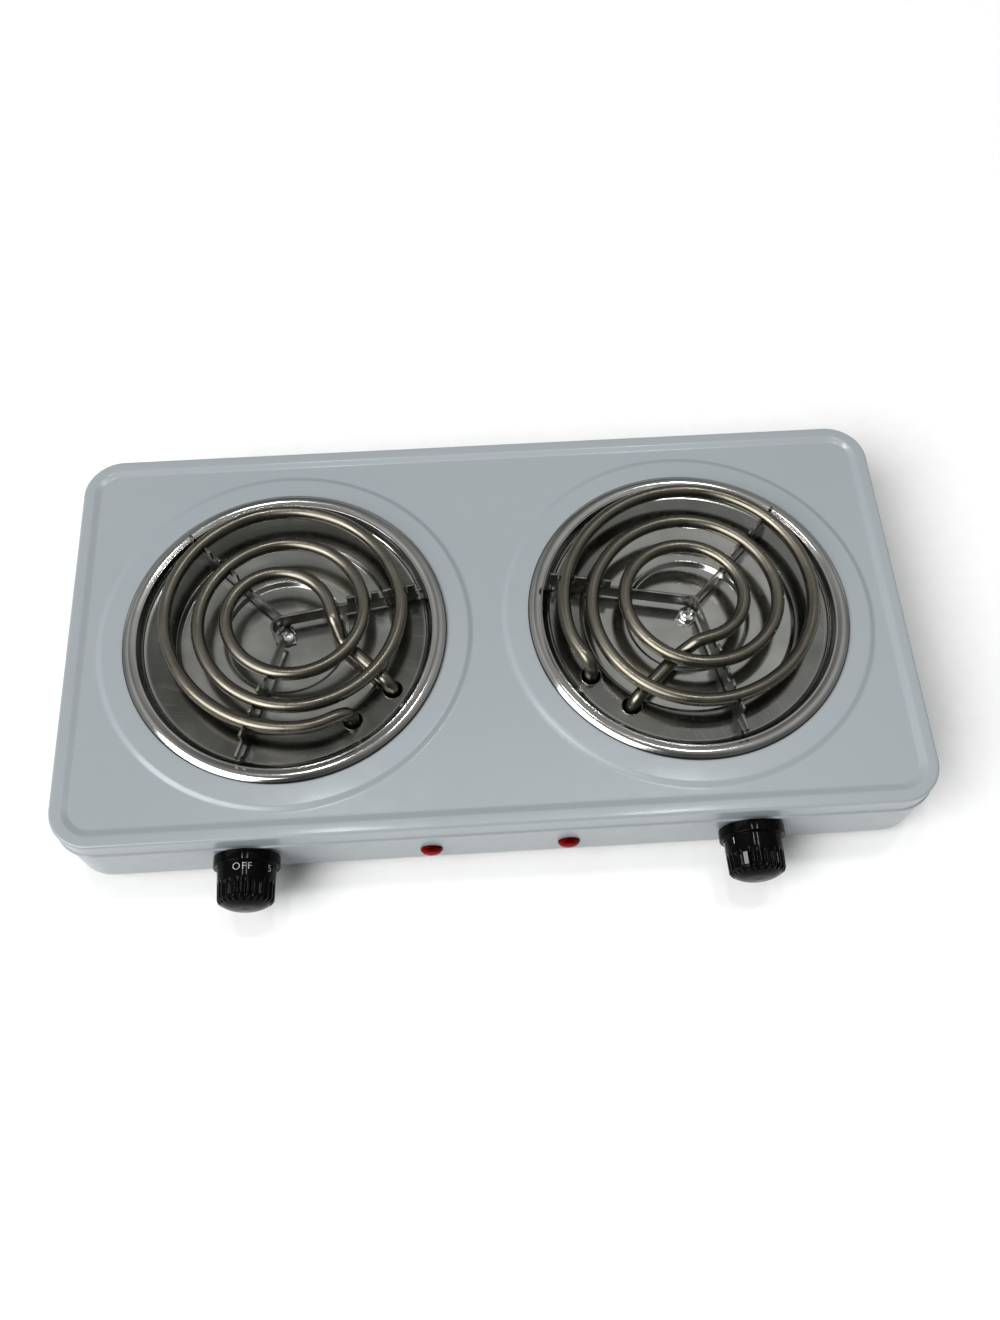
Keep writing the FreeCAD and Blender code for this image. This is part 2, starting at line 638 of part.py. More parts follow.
def heating_coil(side, sign):
    edges, legs = coil_paths[side]
    solid = tube(edges, size("coil_tube"))
    print(side, "coil gap to itself", round(least_gap(path_points(edges), size("coil_tube")), 2))
    coil = node(feature(f"heating_coil_{side}", solid), f"heating_coil_{side}")
    coil.Placement = burner_place(sign)
    down = Vector(0, 0, -1)
    pins = []
    beads = []
    for leg in legs:
        pins.append(Part.makeCylinder(size("pin_radius"), size("pin_length"), leg, down))
        bead = Part.makeCylinder(size("bead_radius"), size("bead_length"), leg, down)
        bore = Part.makeCylinder(size("pin_radius + thread_play"), size("bead_length"), leg, down)
        beads.append(bead.cut(bore))
    for label, solids in (("coil_pins", pins), ("coil_beads", beads)):
        piece = node(feature(f"{label}_{side}", Part.makeCompound(solids)), f"{label}_{side}")
        piece.Placement = burner_place(sign)


def drip_pan(side, sign):
    outer = size("pan_radius")
    bead = size("pan_bead")
    width = size("pan_bead_width")
    wall = size(wall_radius)
    floor = size(floor_radius)
    depth = size("pan_depth")
    step_radius = size("pan_step_radius")
    step = size("pan_step")
    well_radius = size("pan_well_radius")
    well = size("pan_well")
    metal = size("pan_sheet")
    bottom = -depth - step - well
    profile = [(outer, metal), (outer - width * 0.12, bead), (outer - width * 0.85, bead * 0.9), (wall, 0),
               (floor, -depth), (step_radius + step, -depth), (step_radius, -depth - step),
               (well_radius + well, -depth - step), (well_radius, bottom), (0, bottom)]
    radii = [bead * 0.7, bead * 0.9, metal * 3, metal * 4, step, step, step, step]
    face = strip([Vector(r, 0, z) for r, z in profile], radii, metal)
    shape = face.revolve(Vector(), Vector(0, 0, 1), 360)
    for leg in coil_paths[side][1]:
        hole = size("coil_tube + leg_clearance")
        ground = Vector(leg.x, leg.y, -depth - metal)
        lip = Part.makeCylinder(hole + size("leg_lip"), metal + size("leg_lip"), ground)
        shape = shape.fuse(lip).cut(Part.makeCylinder(hole, 10, ground - Vector(0, 0, 5)))
    shape = shape.cut(Part.makeCylinder(size("burner_thread + screw_play"), 10, Vector(0, 0, bottom - 5)))
    pan = node(feature(f"drip_pan_{side}", shape), f"drip_pan_{side}")
    pan.Placement = burner_place(sign)


def toothed_top(crossings, end, seat, crest):
    # An arm's top edge from its end inwards, with a tooth on each side of every turn but the first.
    play = size("coil_tube + notch_play")
    tooth = size("tooth_width")
    bounds = crossings + [end + play]
    points = [(end, seat)]
    for inner, outer in reversed(list(zip(bounds, bounds[1:]))):
        low, high = inner + play, outer - play
        teeth = []
        if outer <= end:
            teeth.append((max(high - tooth, low), high))
        if inner > crossings[0]:
            teeth.append((low, min(low + tooth, high)))
        if len(teeth) == 2 and teeth[1][1] >= teeth[0][0]:
            teeth = [(low, high)]
        for start, stop in teeth:
            if start < stop:
                points += [(stop, seat), (stop, crest), (start, crest), (start, seat)]
    return points if points[0] != points[1] else points[1:]


def out_to(radius, start, along):
    # Distance from a start to a circle about the burner's centre.
    ahead = start.dot(along)
    return math.sqrt(radius**2 - start.Length**2 + ahead**2) - ahead


def coil_support(side, sign):
    # Three toothed strips on edge that stand on the pan's outer floor, with a tab under the burner's screw.
    well = size(f"{well_z} - case_height")
    ledge = -size("pan_depth")
    seat = size("coil_rise - coil_tube")
    crest = seat + size("support_notch")
    metal = size("support_sheet")
    leg = size("hub_leg")
    hub = Vector(*support_hubs[side])
    arms = []
    for place_xy, heading in support_arms[side]:
        start = Vector(*place_xy)
        along = heading_vector(heading)
        end = out_to(size("support_reach"), start, along)
        foot = out_to(size(f"{floor_radius} - arm_foot_margin"), start, along)
        if start == hub:
            lower = [(-metal / 2, well), (leg, well), (leg + size("hub_slant"), ledge)]
        else:
            lower = [(-metal / 2, ledge)]
        lower += [(foot, ledge), (end, seat - size("arm_end"))]
        upper = toothed_top(arm_crossings(side, start, heading), end, seat, crest)
        corners = [along * s + Vector(0, 0, z) + start for s, z in lower + upper + [(-metal / 2, seat)]]
        side_step = heading_vector(heading + 90) * metal
        face = Part.Face(Part.makePolygon(corners + corners[:1]))
        face.translate(side_step * -0.5)
        arms.append(face.extrude(side_step))
    width = size("support_tab")
    tab = Part.makeBox(hub.Length + size("burner_head"), width, metal, Vector(0, -width / 2, well))
    tab.rotate(Vector(), Vector(0, 0, 1), math.degrees(math.atan2(-hub.y, -hub.x)))
    tab.translate(hub)
    shape = arms[0].multiFuse(arms[1:] + [tab] + hub_collar(side, ledge, seat))
    shape = shape.cut(Part.makeCylinder(size("burner_thread + screw_play"), 8, Vector(0, 0, well - 4)))
    clear_head = Part.makeCylinder(size("burner_head + screw_play"), 40, Vector(0, 0, well + metal))
    support = node(feature(f"coil_support_{side}", shape.cut(clear_head)), f"coil_support_{side}")
    support.Placement = burner_place(sign)


def hub_collar(side, low, high):
    # Where an arm starts away from the hub, a strip bent round the screw's head joins it to the others.
    if support_collars[side] is None:
        return []
    first, last = support_collars[side]
    inner = size("burner_head + screw_play + hub_gap")
    metal = size("support_sheet")
    ring = Part.makeCylinder(inner + metal, high - low, Vector(0, 0, low), Vector(0, 0, 1), last - first)
    ring = ring.cut(Part.makeCylinder(inner, high - low, Vector(0, 0, low)))
    ring.rotate(Vector(), Vector(0, 0, 1), first)
    return [ring]


def burner_bridge(side, sign):
    under = size("sheet_metal")
    bottom = size(f"case_height - {well_z} + pan_sheet")
    end = size("bridge_end")
    foot = end - size("bridge_foot")
    knee = foot - 3
    metal = size("bridge_sheet")
    points = [Vector(x, 0, -z) for x, z in ((end, under), (foot, under), (knee, bottom), (-knee, bottom),
                                            (-foot, under), (-end, under))]
    width = size("bridge_width")
    face = strip(points, [metal * 2, metal * 2, metal * 2, metal * 2], metal)
    face.translate(Vector(0, -width / 2, 0))
    shape = face.extrude(Vector(0, width, 0))
    shape = shape.cut(Part.makeCylinder(size("burner_thread + screw_play"), 10, Vector(0, 0, -bottom - 5)))
    bridge = node(feature(f"burner_bridge_{side}", shape), f"burner_bridge_{side}")
    bridge.Placement = burner_place(sign)
    seat = (burner_x(sign), burner_y, f"{well_z} + support_sheet")
    node(screw(f"burner_screw_{side}", "burner_thread", "burner_head", "burner_head_height",
               "burner_screw_length", seat, upright), f"burner_screw_{side}")
    height = "burner_thread*1.6"
    low = (burner_x(sign), burner_y, f"{well_z} - pan_sheet - bridge_sheet - {height}")
    blank = hexagon(f"burner_nut_blank_{side}", "burner_thread*3.2", height, low)
    hole = cylinder(f"burner_nut_bore_{side}", "burner_thread + thread_play", "case_height",
                    (burner_x(sign), burner_y, "0"))
    return cut(f"burner_nut_{side}", blank, hole)


# Controls. Heights along the spindle are counted from the shell's front wall.


def knob(side, sign):
    at = (f"{sign}*knob_x", wall_front, "knob_z")
    rear = f"({shell_inset} + knob_gap)"
    front_edge = "(knob_length - knob_dome)"
    shoulder = f"{rear} + knob_collar_height"
    corners = [("0", rear), ("knob_collar", rear), ("knob_collar", shoulder, "knob_edge"),
               ("knob_radius", shoulder), ("knob_nose", front_edge, "knob_edge*2"),
               ("knob_nose*0.62", "knob_length - knob_dome*0.2", "14"), ("0", "knob_length")]
    body = turned(f"knob_form_{side}", corners)
    flute = [("knob_nose - flute_depth", "0"), ("knob_radius + 1", "-flute_width/2"),
             ("knob_radius + 1", "flute_width/2")]
    sketch = outline(body, f"knob_flute_{side}", "XY_Plane", flute, f"{front_edge} - flute_length")
    pocket = body.newObject("PartDesign::Pocket", f"knob_pocket_{side}")
    pocket.Profile = sketch
    pocket.setExpression("Length", bound("flute_length + knob_dome"))
    pocket.Reversed = True
    pattern = body.newObject("PartDesign::PolarPattern", f"knob_flutes_{side}")
    pattern.Originals = [pocket]
    pattern.Axis = (sketch, ["N_Axis"])
    pattern.Angle = 360
    pattern.setExpression("Occurrences", bound("flute_count"))
    body.Tip = pattern
    place(body, at, facing_front)
    cavity = cylinder(f"knob_hollow_{side}", "knob_cavity", "knob_cavity_depth", at, facing_front)
    bore = "spindle_radius + key_play"
    round_bore = cylinder(f"knob_bore_{side}", bore, "spindle_grip + 1", at, facing_front)
    flat = (at[0], f"{wall_front} - spindle_grip/2 - 5", "knob_z + spindle_flat + key_play")
    key = box(f"knob_key_{side}", "spindle_radius*3", "spindle_grip*2", "spindle_radius", flat)
    socket = cut(f"knob_socket_{side}", round_bore, key)
    node(cut(f"knob_{side}", body, cavity, socket), f"knob_{side}")
    tip = "(sheet_metal + bush_flange_height + frame_sheet + stack_first - tip_play)"
    start = (at[0], f"{wall_front} + {tip}", "knob_z")
    reach = f"spindle_grip + {tip}"
    shaft = cylinder(f"spindle_round_{side}", "spindle_radius", reach, start, facing_front)
    milled = (at[0], f"{wall_front} - bush_nose - spindle_grip", "knob_z + spindle_flat")
    flat_cut = box(f"spindle_mill_{side}", "spindle_radius*3", "spindle_grip*2", "spindle_radius", milled)
    node(cut(f"spindle_{side}", shaft, flat_cut), f"spindle_{side}")


def thermostat(side, sign):
    x = f"{sign}*knob_x"
    at = (x, wall_inside, "knob_z")
    bore = "spindle_radius + running_play"
    flange = "-bush_flange_height"
    spigot = "-(bush_flange_height + frame_sheet + 0.4)"
    corners = [(bore, spigot), ("bush_spigot", spigot), ("bush_spigot", flange), ("bush_flange", flange),
               ("bush_flange", "0"), ("bush_radius", "0"), ("bush_radius", "sheet_metal + bush_nose"),
               (bore, "sheet_metal + bush_nose")]
    node(turned(f"thermostat_bush_{side}", corners, at, facing_front), f"thermostat_bush_{side}")
    seat = (x, wall_front, "knob_z")
    blank = hexagon(f"bush_nut_blank_{side}", "bush_nut_flats", "bush_nut_height", seat, facing_front)
    behind = (x, f"{wall_front} + 5", "knob_z")
    thread = cylinder(f"bush_nut_bore_{side}", "bush_radius + thread_play", "20", behind, facing_front)
    nut = cut(f"bush_nut_{side}", blank, thread)

    stack_x = f"({x} - {sign}*stack_offset)"
    plate_y = f"({wall_inside} + bush_flange_height)"
    first_y = f"({plate_y} + frame_sheet)"
    blade_y = f"({first_y} + stack_first)"
    second_y = f"({blade_y} + blade_sheet)"
    bimetal_y = f"({second_y} + stack_second)"
    third_y = f"({bimetal_y} + bimetal_sheet)"
    stack_end = f"({third_y} + stack_third)"
    rivet_hole = "rivet_radius + thread_play"

    def drilled(name, blank, *others):
        spot = (stack_x, f"{plate_y} - 5", "knob_z")
        return cut(name, blank, cylinder(name + "_drill", rivet_hole, "60", spot, facing_back), *others)

    width = "stack_offset + stack_radius*2 + bush_flange"
    centre = f"({x} - {sign}*(stack_offset + stack_radius*2 - bush_flange)/2)"
    low = "knob_z - frame_height/2"
    middle = (centre, f"{plate_y} + frame_sheet/2", low)
    plate = box(f"frame_plate_{side}", width, "frame_sheet", "frame_height", middle)
    ahead = (x, f"{plate_y} - 5", "knob_z")
    spigot_hole = cylinder(f"frame_hole_{side}", "bush_spigot + thread_play", "20", ahead, facing_back)
    node(drilled(f"thermostat_frame_{side}", plate, spigot_hole), f"thermostat_frame_{side}")

    rings = []
    for index, (start, height) in enumerate(((first_y, "stack_first"), (second_y, "stack_second"),
                                             (third_y, "stack_third"))):
        spot = (stack_x, start, "knob_z")
        ring = cylinder(f"ring{index}_{side}", "stack_radius", height, spot, facing_back)
        rings.append(drilled(f"ceramic{index}_{side}", ring))
    node(group(f"thermostat_ceramics_{side}", rings), f"thermostat_ceramics_{side}")

    length = "blade_reach + stack_offset + stack_radius + tab_reach"
    blade_x = f"({x} - {sign}*(stack_offset + stack_radius + tab_reach - blade_reach)/2)"
    contact_x = f"({x} + {sign}*(blade_reach - contact_radius*1.5))"
    blade_low = "knob_z - blade_width/2"
    for label, start, metal, contact_y in (
            ("spring_blade", blade_y, "blade_sheet", f"{blade_y} + blade_sheet"),
            ("bimetal_blade", bimetal_y, "bimetal_sheet", f"{bimetal_y} - contact_height")):
        middle = (blade_x, f"{start} + {metal}/2", blade_low)
        flat = box(f"{label}_strip_{side}", length, metal, "blade_width", middle)
        contact = cylinder(f"{label}_contact_{side}", "contact_radius", "contact_height",
                           (contact_x, contact_y, "knob_z"), facing_back)
        blank = fuse(f"{label}_blank_{side}", flat, contact)
        node(drilled(f"{label}_{side}", blank), f"{label}_{side}")

    head = "(bush_flange_height*0.6)"
    span = f"({stack_end} - {plate_y})"
    corners = [("0", f"-{head}"), ("rivet_head", f"-{head}"), ("rivet_head", "0"), ("rivet_radius", "0"),
               ("rivet_radius", span), ("rivet_head", span), ("rivet_head", f"{span} + {head}"),
               ("0", f"{span} + {head}")]
    rivet = turned(f"stack_rivet_{side}", corners, (stack_x, plate_y, "knob_z"), facing_back)
    return nut, rivet


def lamp(side, sign):
    x = f"{sign}*lamp_x"
    at = (x, wall_front, "lamp_z")
    bore = "lens_barrel - lens_wall"
    back = "-(sheet_metal + lens_depth)"
    corners = [("0", "lens_reach - lens_wall"), (bore, "lens_wall"), (bore, back), ("lens_barrel", back),
               ("lens_barrel", "0"), ("lens_radius", "0"), ("lens_radius", "1.2"),
               ("lens_radius*0.72", "lens_reach - 0.9", "2.4"), ("0", "lens_reach")]
    node(turned(f"lamp_lens_{side}", corners, at, facing_front), f"lamp_lens_{side}")
    radius = f"({bore} - bulb_play)"
    end = f"{bulb_nose} - bulb_length"
    corners = [("0", end), (radius, end), (radius, bulb_nose, f"{radius}*0.6"), ("0", bulb_nose)]
    node(turned(f"lamp_bulb_{side}", corners, at, facing_front), f"lamp_bulb_{side}")
    clip = [("lens_barrel + thread_play", "0"), ("clip_radius", "0"), ("clip_radius", "clip_sheet"),
            ("lens_barrel + thread_play", "clip_sheet")]
    return turned(f"lamp_clip_{side}", clip, (x, wall_inside, "lamp_z"), facing_back)


# Wiring


def cord_grommet():
    flange = "inlet_flange"
    height = "inlet_flange_height"
    neck = "inlet_hole - thread_play"
    end = f"sheet_metal + {height}"
    corners = [("inlet_bore", f"-{height}"), (flange, f"-{height}", "inlet_edge"), (flange, "0"), (neck, "0"),
               (neck, "sheet_metal"), (flange, "sheet_metal"), ("inlet_hole + inlet_edge", end, "inlet_edge"),
               ("inlet_bore", end)]
    at = ("0", f"{wall_back} - sheet_metal", "inlet_z")
    node(turned("cord_grommet", corners, at, facing_back), "cord_grommet")


def terminal_block():
    centre = ("0", block_y, floor_top)
    block = box("block_blank", "block_width", "block_depth", "block_height", centre)
    cuts = []
    screws = []
    for pole in (-1, 0, 1):
        x = f"{pole}*pole_pitch"
        well = (x, centre[1], f"{floor_top} + block_height - small_head_height")
        cuts.append(cylinder(f"pole_well{pole + 1}", "small_head + screw_play", "10", well))
        thread = (x, centre[1], f"{floor_top} + block_height/2")
        cuts.append(cylinder(f"pole_thread{pole + 1}", "small_thread + thread_play", "20", thread))
        entry = (x, f"{centre[1]} - block_depth", f"{floor_top} + block_height*0.4")
        bore = "wire_radius + screw_play"
        cuts.append(cylinder(f"pole_entry{pole + 1}", bore, "block_depth*2", entry, facing_back))
        length = "block_height*0.5 - small_head_height - wire_radius"
        screws.append(screw(f"pole_screw{pole + 1}", "small_thread", "small_head", "small_head_height",
                            length, well, upright))
    fixing = []
    for pole, x in enumerate((-1, 1)):
        spot = (f"{x}*pole_pitch/2", centre[1], "foot_height")
        cuts.append(cylinder(f"fixing_bore{pole}", "tap_thread + thread_play", "tap_length + 1", spot))
        fixing.append(screw(f"block_screw{pole}", "tap_thread", "tap_head", "tap_head_height", "tap_length",
                            spot, facing_down))
    node(cut("terminal_block", block, *cuts), "terminal_block")
    node(group("terminal_screws", screws + fixing), "terminal_screws")
    earth = (*earth_spot, "foot_height")
    stud = screw("earth_stud", "small_thread", "small_head", "small_head_height", "small_thread*4",
                 earth, facing_down)
    nut_at = (*earth_spot, f"{floor_top}")
    blank = hexagon("earth_nut_blank", "small_thread*3.6", "small_thread*1.6", nut_at)
    bore = cylinder("earth_nut_bore", "small_thread + thread_play", "20", (*earth_spot, "0"))
    node(group("earth_fixing", [stud, cut("earth_nut", blank, bore)]), "earth_fixing")


def even_radii(points):
    # Each arc as large as its two runs allow.
    radii = []
    for a, b, c in zip(points, points[1:], points[2:]):
        half = (a - b).getAngle(c - b) / 2
        radii.append(0.45 * min((a - b).Length, (c - b).Length) * math.tan(half))
    return radii


def wire(points, radius):
    return tube(rounded_run(points, even_radii(points)), radius)


def crimp(leg):
    # A sleeve clamped on a pin's lower end.
    top = leg - Vector(0, 0, size("pin_length - crimp_length"))
    return Part.makeCylinder(size("crimp_radius"), size("crimp_length"), top, Vector(0, 0, -1))


def pin_space(leg):
    return Part.makeCylinder(size("pin_radius + key_play"), size("pin_length"), leg, Vector(0, 0, -1))


def wiring(side, sign):
    corner = burner_place(sign)
    legs = sorted([corner.multVec(leg) for leg in coil_paths[side][1]], key=lambda leg: leg.y)
    load_leg, neutral_leg = legs
    radius = size("wire_radius")
    level = size(f"{floor_top} + wire_radius*3")
    pole_y = size(f"{block_y} - block_depth/2")
    pole_z = size(f"{floor_top} + block_height*0.4")
    tab_x = sign * size("knob_x - stack_offset - stack_radius - tab_reach")
    spring_y = size(f"{wall_inside} + bush_flange_height + frame_sheet + stack_first + blade_sheet/2")
    bimetal_y = spring_y + size("blade_sheet/2 + stack_second + bimetal_sheet/2")
    tab_z = size("knob_z")
    crimp_z = load_leg.z - size("pin_length - crimp_length/2")
    reach = size("crimp_radius")

    pole_x = sign * size("pole_pitch")
    inner_x = sign * size("lamp_x")
    live = wire([Vector(pole_x, pole_y + 4, pole_z), Vector(pole_x, pole_y - 22, pole_z),
                 Vector(pole_x, pole_y - 52, level), Vector(inner_x * 0.55, pole_y - 100, level),
                 Vector(inner_x * 0.9, pole_y - 140, level),
                 Vector(inner_x * 1.6, spring_y + 12, level + 6),
                 Vector(tab_x - sign * 22, spring_y, tab_z), Vector(tab_x, spring_y, tab_z)], radius)
    node(feature(f"live_wire_{side}", live), f"live_wire_{side}")
    load = wire([Vector(tab_x, bimetal_y, tab_z), Vector(tab_x - sign * 16, bimetal_y, tab_z),
                 Vector(load_leg.x, bimetal_y + 18, crimp_z + 4),
                 Vector(load_leg.x, load_leg.y - 14, crimp_z),
                 Vector(load_leg.x, load_leg.y - reach + 0.4, crimp_z)], radius)
    load = load.fuse(crimp(load_leg)).cut(pin_space(load_leg))
    node(feature(f"load_wire_{side}", load), f"load_wire_{side}")
    neutral = wire([Vector(sign * 4.5, pole_y - radius, pole_z + 5),
                    Vector(sign * 6, pole_y - 20, pole_z + 4),
                    Vector(neutral_leg.x * 0.55, pole_y - 60, level + 4),
                    Vector(neutral_leg.x, neutral_leg.y + 34, crimp_z),
                    Vector(neutral_leg.x, neutral_leg.y + reach - 0.4, crimp_z)], radius)
    neutral = neutral.fuse(crimp(neutral_leg)).cut(pin_space(neutral_leg))
    node(feature(f"neutral_wire_{side}", neutral), f"neutral_wire_{side}")

    lead = size("lead_radius")
    bulb_back = size(f"{wall_front} - {bulb_nose} + bulb_length")
    lamp_z = size("lamp_z")
    leads = []
    for leg, aside in ((load_leg, 1), (neutral_leg, -1)):
        start = Vector(inner_x + sign * aside, bulb_back, lamp_z)
        end = Vector(leg.x - sign * (reach + 0.1), leg.y, crimp_z + 2)
        bend_out = Vector(start.x, start.y + 9, start.z)
        arrive = end - Vector(sign * 8, 0, 0)
        sag = (bend_out + arrive) * 0.5 - Vector(0, 0, 2 - aside)
        leads.append(wire([start, bend_out, sag, arrive, end], lead))
    node(feature(f"lamp_leads_{side}", Part.makeCompound(leads)), f"lamp_leads_{side}")


def earth_wire():
    pole_y = size(f"{block_y} + block_depth/2")
    x, y = size(earth_spot[0]), size(earth_spot[1])
    nut_top = size(f"{floor_top} + small_thread*1.6")
    z = nut_top + size("wire_radius")
    pole_z = size(f"{floor_top} + block_height*0.4")
    points = [Vector(0, pole_y - 4, pole_z), Vector(0, pole_y + 7, pole_z), Vector(14, pole_y + 11, z + 2),
              Vector(30, pole_y + 2, z + 2), Vector(x, pole_y - 18, z), Vector(x, y + 3, z)]
    run = wire(points, size("wire_radius"))
    eye = Part.makeCylinder(size("small_thread*2"), size("wire_radius"), Vector(x, y, nut_top))
    hole = Part.makeCylinder(size("small_thread + thread_play"), 40, Vector(x, y, 0))
    node(feature("earth_wire", run.fuse(eye).cut(hole)), "earth_wire")


coil_paths = {side: coil_path(side) for side in sides}
top_cover()
body_shell()
bottom_plate()
feet()
casing_screws()
burner_nuts = []
control_nuts = []
stack_rivets = []
lamp_clips = []
for side_name, side_sign in sides.items():
    drip_pan(side_name, side_sign)
    coil_support(side_name, side_sign)
    heating_coil(side_name, side_sign)
    burner_nuts.append(burner_bridge(side_name, side_sign))
    knob(side_name, side_sign)
    bush_nut, stack_rivet = thermostat(side_name, side_sign)
    control_nuts.append(bush_nut)
    stack_rivets.append(stack_rivet)
    lamp_clips.append(lamp(side_name, side_sign))
    wiring(side_name, side_sign)
node(group("burner_nuts", burner_nuts), "burner_nuts")
node(group("bush_nuts", control_nuts), "bush_nuts")
node(group("stack_rivets", stack_rivets), "stack_rivets")
node(group("lamp_clips", lamp_clips), "lamp_clips")
cord_grommet()
terminal_block()
earth_wire()
doc.recompute()

faults = [item.Name for item in doc.Objects if {"Invalid", "Error"} & set(item.State)]
for item in nodes:
    if item.Shape.isNull() or not item.Shape.isValid() or not item.Shape.Solids:
        faults.append(item.Label)
if faults:
    raise RuntimeError("failed: " + ", ".join(faults))
os.makedirs("parts", exist_ok=True)
for item in nodes:
    item.Shape.exportStep(f"parts/{item.Label}.step")
print(len(nodes), "nodes")
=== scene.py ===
import bmesh
import bpy
import math
from itertools import product
from mathutils import Matrix, Vector


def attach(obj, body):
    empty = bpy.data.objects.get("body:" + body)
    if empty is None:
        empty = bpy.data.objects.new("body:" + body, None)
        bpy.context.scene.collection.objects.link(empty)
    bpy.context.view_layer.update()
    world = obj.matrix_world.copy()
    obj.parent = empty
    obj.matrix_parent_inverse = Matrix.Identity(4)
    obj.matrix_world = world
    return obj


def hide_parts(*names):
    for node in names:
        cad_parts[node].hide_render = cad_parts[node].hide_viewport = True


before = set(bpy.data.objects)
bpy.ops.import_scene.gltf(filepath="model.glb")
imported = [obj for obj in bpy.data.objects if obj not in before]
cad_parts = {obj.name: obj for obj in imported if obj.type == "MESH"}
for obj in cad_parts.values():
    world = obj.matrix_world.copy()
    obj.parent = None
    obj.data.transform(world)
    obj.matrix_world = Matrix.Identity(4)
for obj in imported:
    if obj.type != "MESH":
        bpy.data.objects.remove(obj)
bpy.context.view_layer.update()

mm = 0.001
sides = {"left": -1, "right": 1}
burner = {"x": 115.4 * mm, "y": 12.6 * mm, "top": 57 * mm}  # pan centres on the cover's plateaus


# helpers for objects and meshes

def burnerPlace(sign):
    return Matrix.Translation((sign * burner["x"], burner["y"], burner["top"]))


def addObject(data, name=None):
    made = bpy.data.objects.new(name or data.name, data)
    bpy.context.scene.collection.objects.link(made)
    return made


def plainMesh(source):
    # the object's shape with its modifiers applied
    bpy.context.view_layer.update()
    return bpy.data.meshes.new_from_object(source.evaluated_get(bpy.context.evaluated_depsgraph_get()))


def meshFrom(bm, name, outward=False):
    if outward:
        bmesh.ops.recalc_face_normals(bm, faces=bm.faces)
    mesh = bpy.data.meshes.new(name)
    bm.to_mesh(mesh)
    bm.free()
    return mesh


def finishPiece(mesh, name, finish, body, replaced=()):
    piece = addObject(mesh, name)
    if finish is not None:
        mesh.materials.clear()
        mesh.materials.append(finishes[finish])
    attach(piece, body)
    if replaced:
        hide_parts(*replaced)
    return piece


def shadeByAngle(mesh, degrees):
    for polygon in mesh.polygons:
        polygon.use_smooth = True
    mesh.set_sharp_from_angle(angle=math.radians(degrees))


def addCut(blank, tool):
    cutter = blank.modifiers.new("cut", "BOOLEAN")
    cutter.object = tool
    cutter.operation = "DIFFERENCE"
    cutter.solver = "EXACT"


def bendRun(points, radii, step=8):
    # straight runs through the points with a tangent arc at each inner one
    run = [Vector(points[0])]
    for index in range(1, len(points) - 1):
        here = Vector(points[index])
        back = (Vector(points[index - 1]) - here).normalized()
        ahead = (Vector(points[index + 1]) - here).normalized()
        radius = radii[index - 1]
        half = back.angle(ahead) / 2
        if radius == 0 or half > math.pi / 2 - 1e-4:
            run.append(here)
            continue
        centre = here + (back + ahead).normalized() * (radius / math.sin(half))
        enter = here + back * (radius / math.tan(half))
        leave = here + ahead * (radius / math.tan(half))
        sweep = math.pi - 2 * half
        count = max(2, math.ceil(math.degrees(sweep) / step))
        first, last = enter - centre, leave - centre
        for k in range(count + 1):
            share = k / count
            spoke = first * math.sin((1 - share) * sweep) + last * math.sin(share * sweep)
            run.append(centre + spoke / math.sin(sweep))
    run.append(Vector(points[-1]))
    return run


def stitchRings(bm, rings, closed=False):
    # faces between neighbouring rings of points; a ring of one point is a pole
    loops = [[bm.verts.new(point) for point in ring] for ring in rings]
    following = loops[1:] + loops[:1] if closed else loops[1:]
    for low, high in zip(loops, following):
        for k in range(max(len(low), len(high))):
            ends = (low, k), (low, k + 1), (high, k + 1), (high, k)
            corners = list(dict.fromkeys(loop[at % len(loop)] for loop, at in ends))
            if len(corners) > 2:
                bm.faces.new(corners)
    return loops


def levelRing(radius, height, count, x=0, y=0):
    if radius < 1e-7:
        return [(x, y, height)]
    turn = [2 * math.pi * k / count for k in range(count)]
    return [(x + radius * math.cos(a), y + radius * math.sin(a), height) for a in turn]


def latheMesh(name, profile, count, closed=False):
    # a profile of (radius, height) in millimetres, turned about Z
    bm = bmesh.new()
    stitchRings(bm, [levelRing(radius * mm, height * mm, count) for radius, height in profile], closed)
    return meshFrom(bm, name, outward=True)


def wallProfile(line, thickness):
    # a closed section: the line and its copy drawn in by the sheet's thickness
    under = []
    for k, point in enumerate(line):
        before = line[max(k - 1, 0)]
        after = line[min(k + 1, len(line) - 1)]
        along = (after - before).normalized()
        under.append(point + Vector((along.y, -along.x)) * thickness)
    return list(line) + under[::-1]


solidCopy = {"weld": 2e-6, "flat": math.radians(0.6), "segments": 2, "profile": 0.6}


def cadCopy(node, name, finish, slotName, angle, bevel=0):
    # the solid's own mesh, welded and shaded, with its edges broken where asked
    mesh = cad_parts[node].data.copy()
    mesh.name = name
    bm = bmesh.new()
    bm.from_mesh(mesh)
    bmesh.ops.remove_doubles(bm, verts=bm.verts, dist=solidCopy["weld"])
    if bevel:
        limit = math.radians(angle)
        bmesh.ops.dissolve_limit(bm, angle_limit=solidCopy["flat"], verts=bm.verts, edges=bm.edges)
        sharp = [edge for edge in bm.edges if edge.is_manifold and edge.calc_face_angle(0) > limit]
        bmesh.ops.bevel(bm, geom=sharp, offset=bevel, segments=solidCopy["segments"], affect="EDGES",
                        profile=solidCopy["profile"], clamp_overlap=True)
    bm.to_mesh(mesh)
    bm.free()
    if "custom_normal" in mesh.attributes:
        mesh.attributes.remove(mesh.attributes["custom_normal"])
    shadeByAngle(mesh, angle)
    finishPiece(mesh, name, finish, "base", [node])


# helpers for nodes

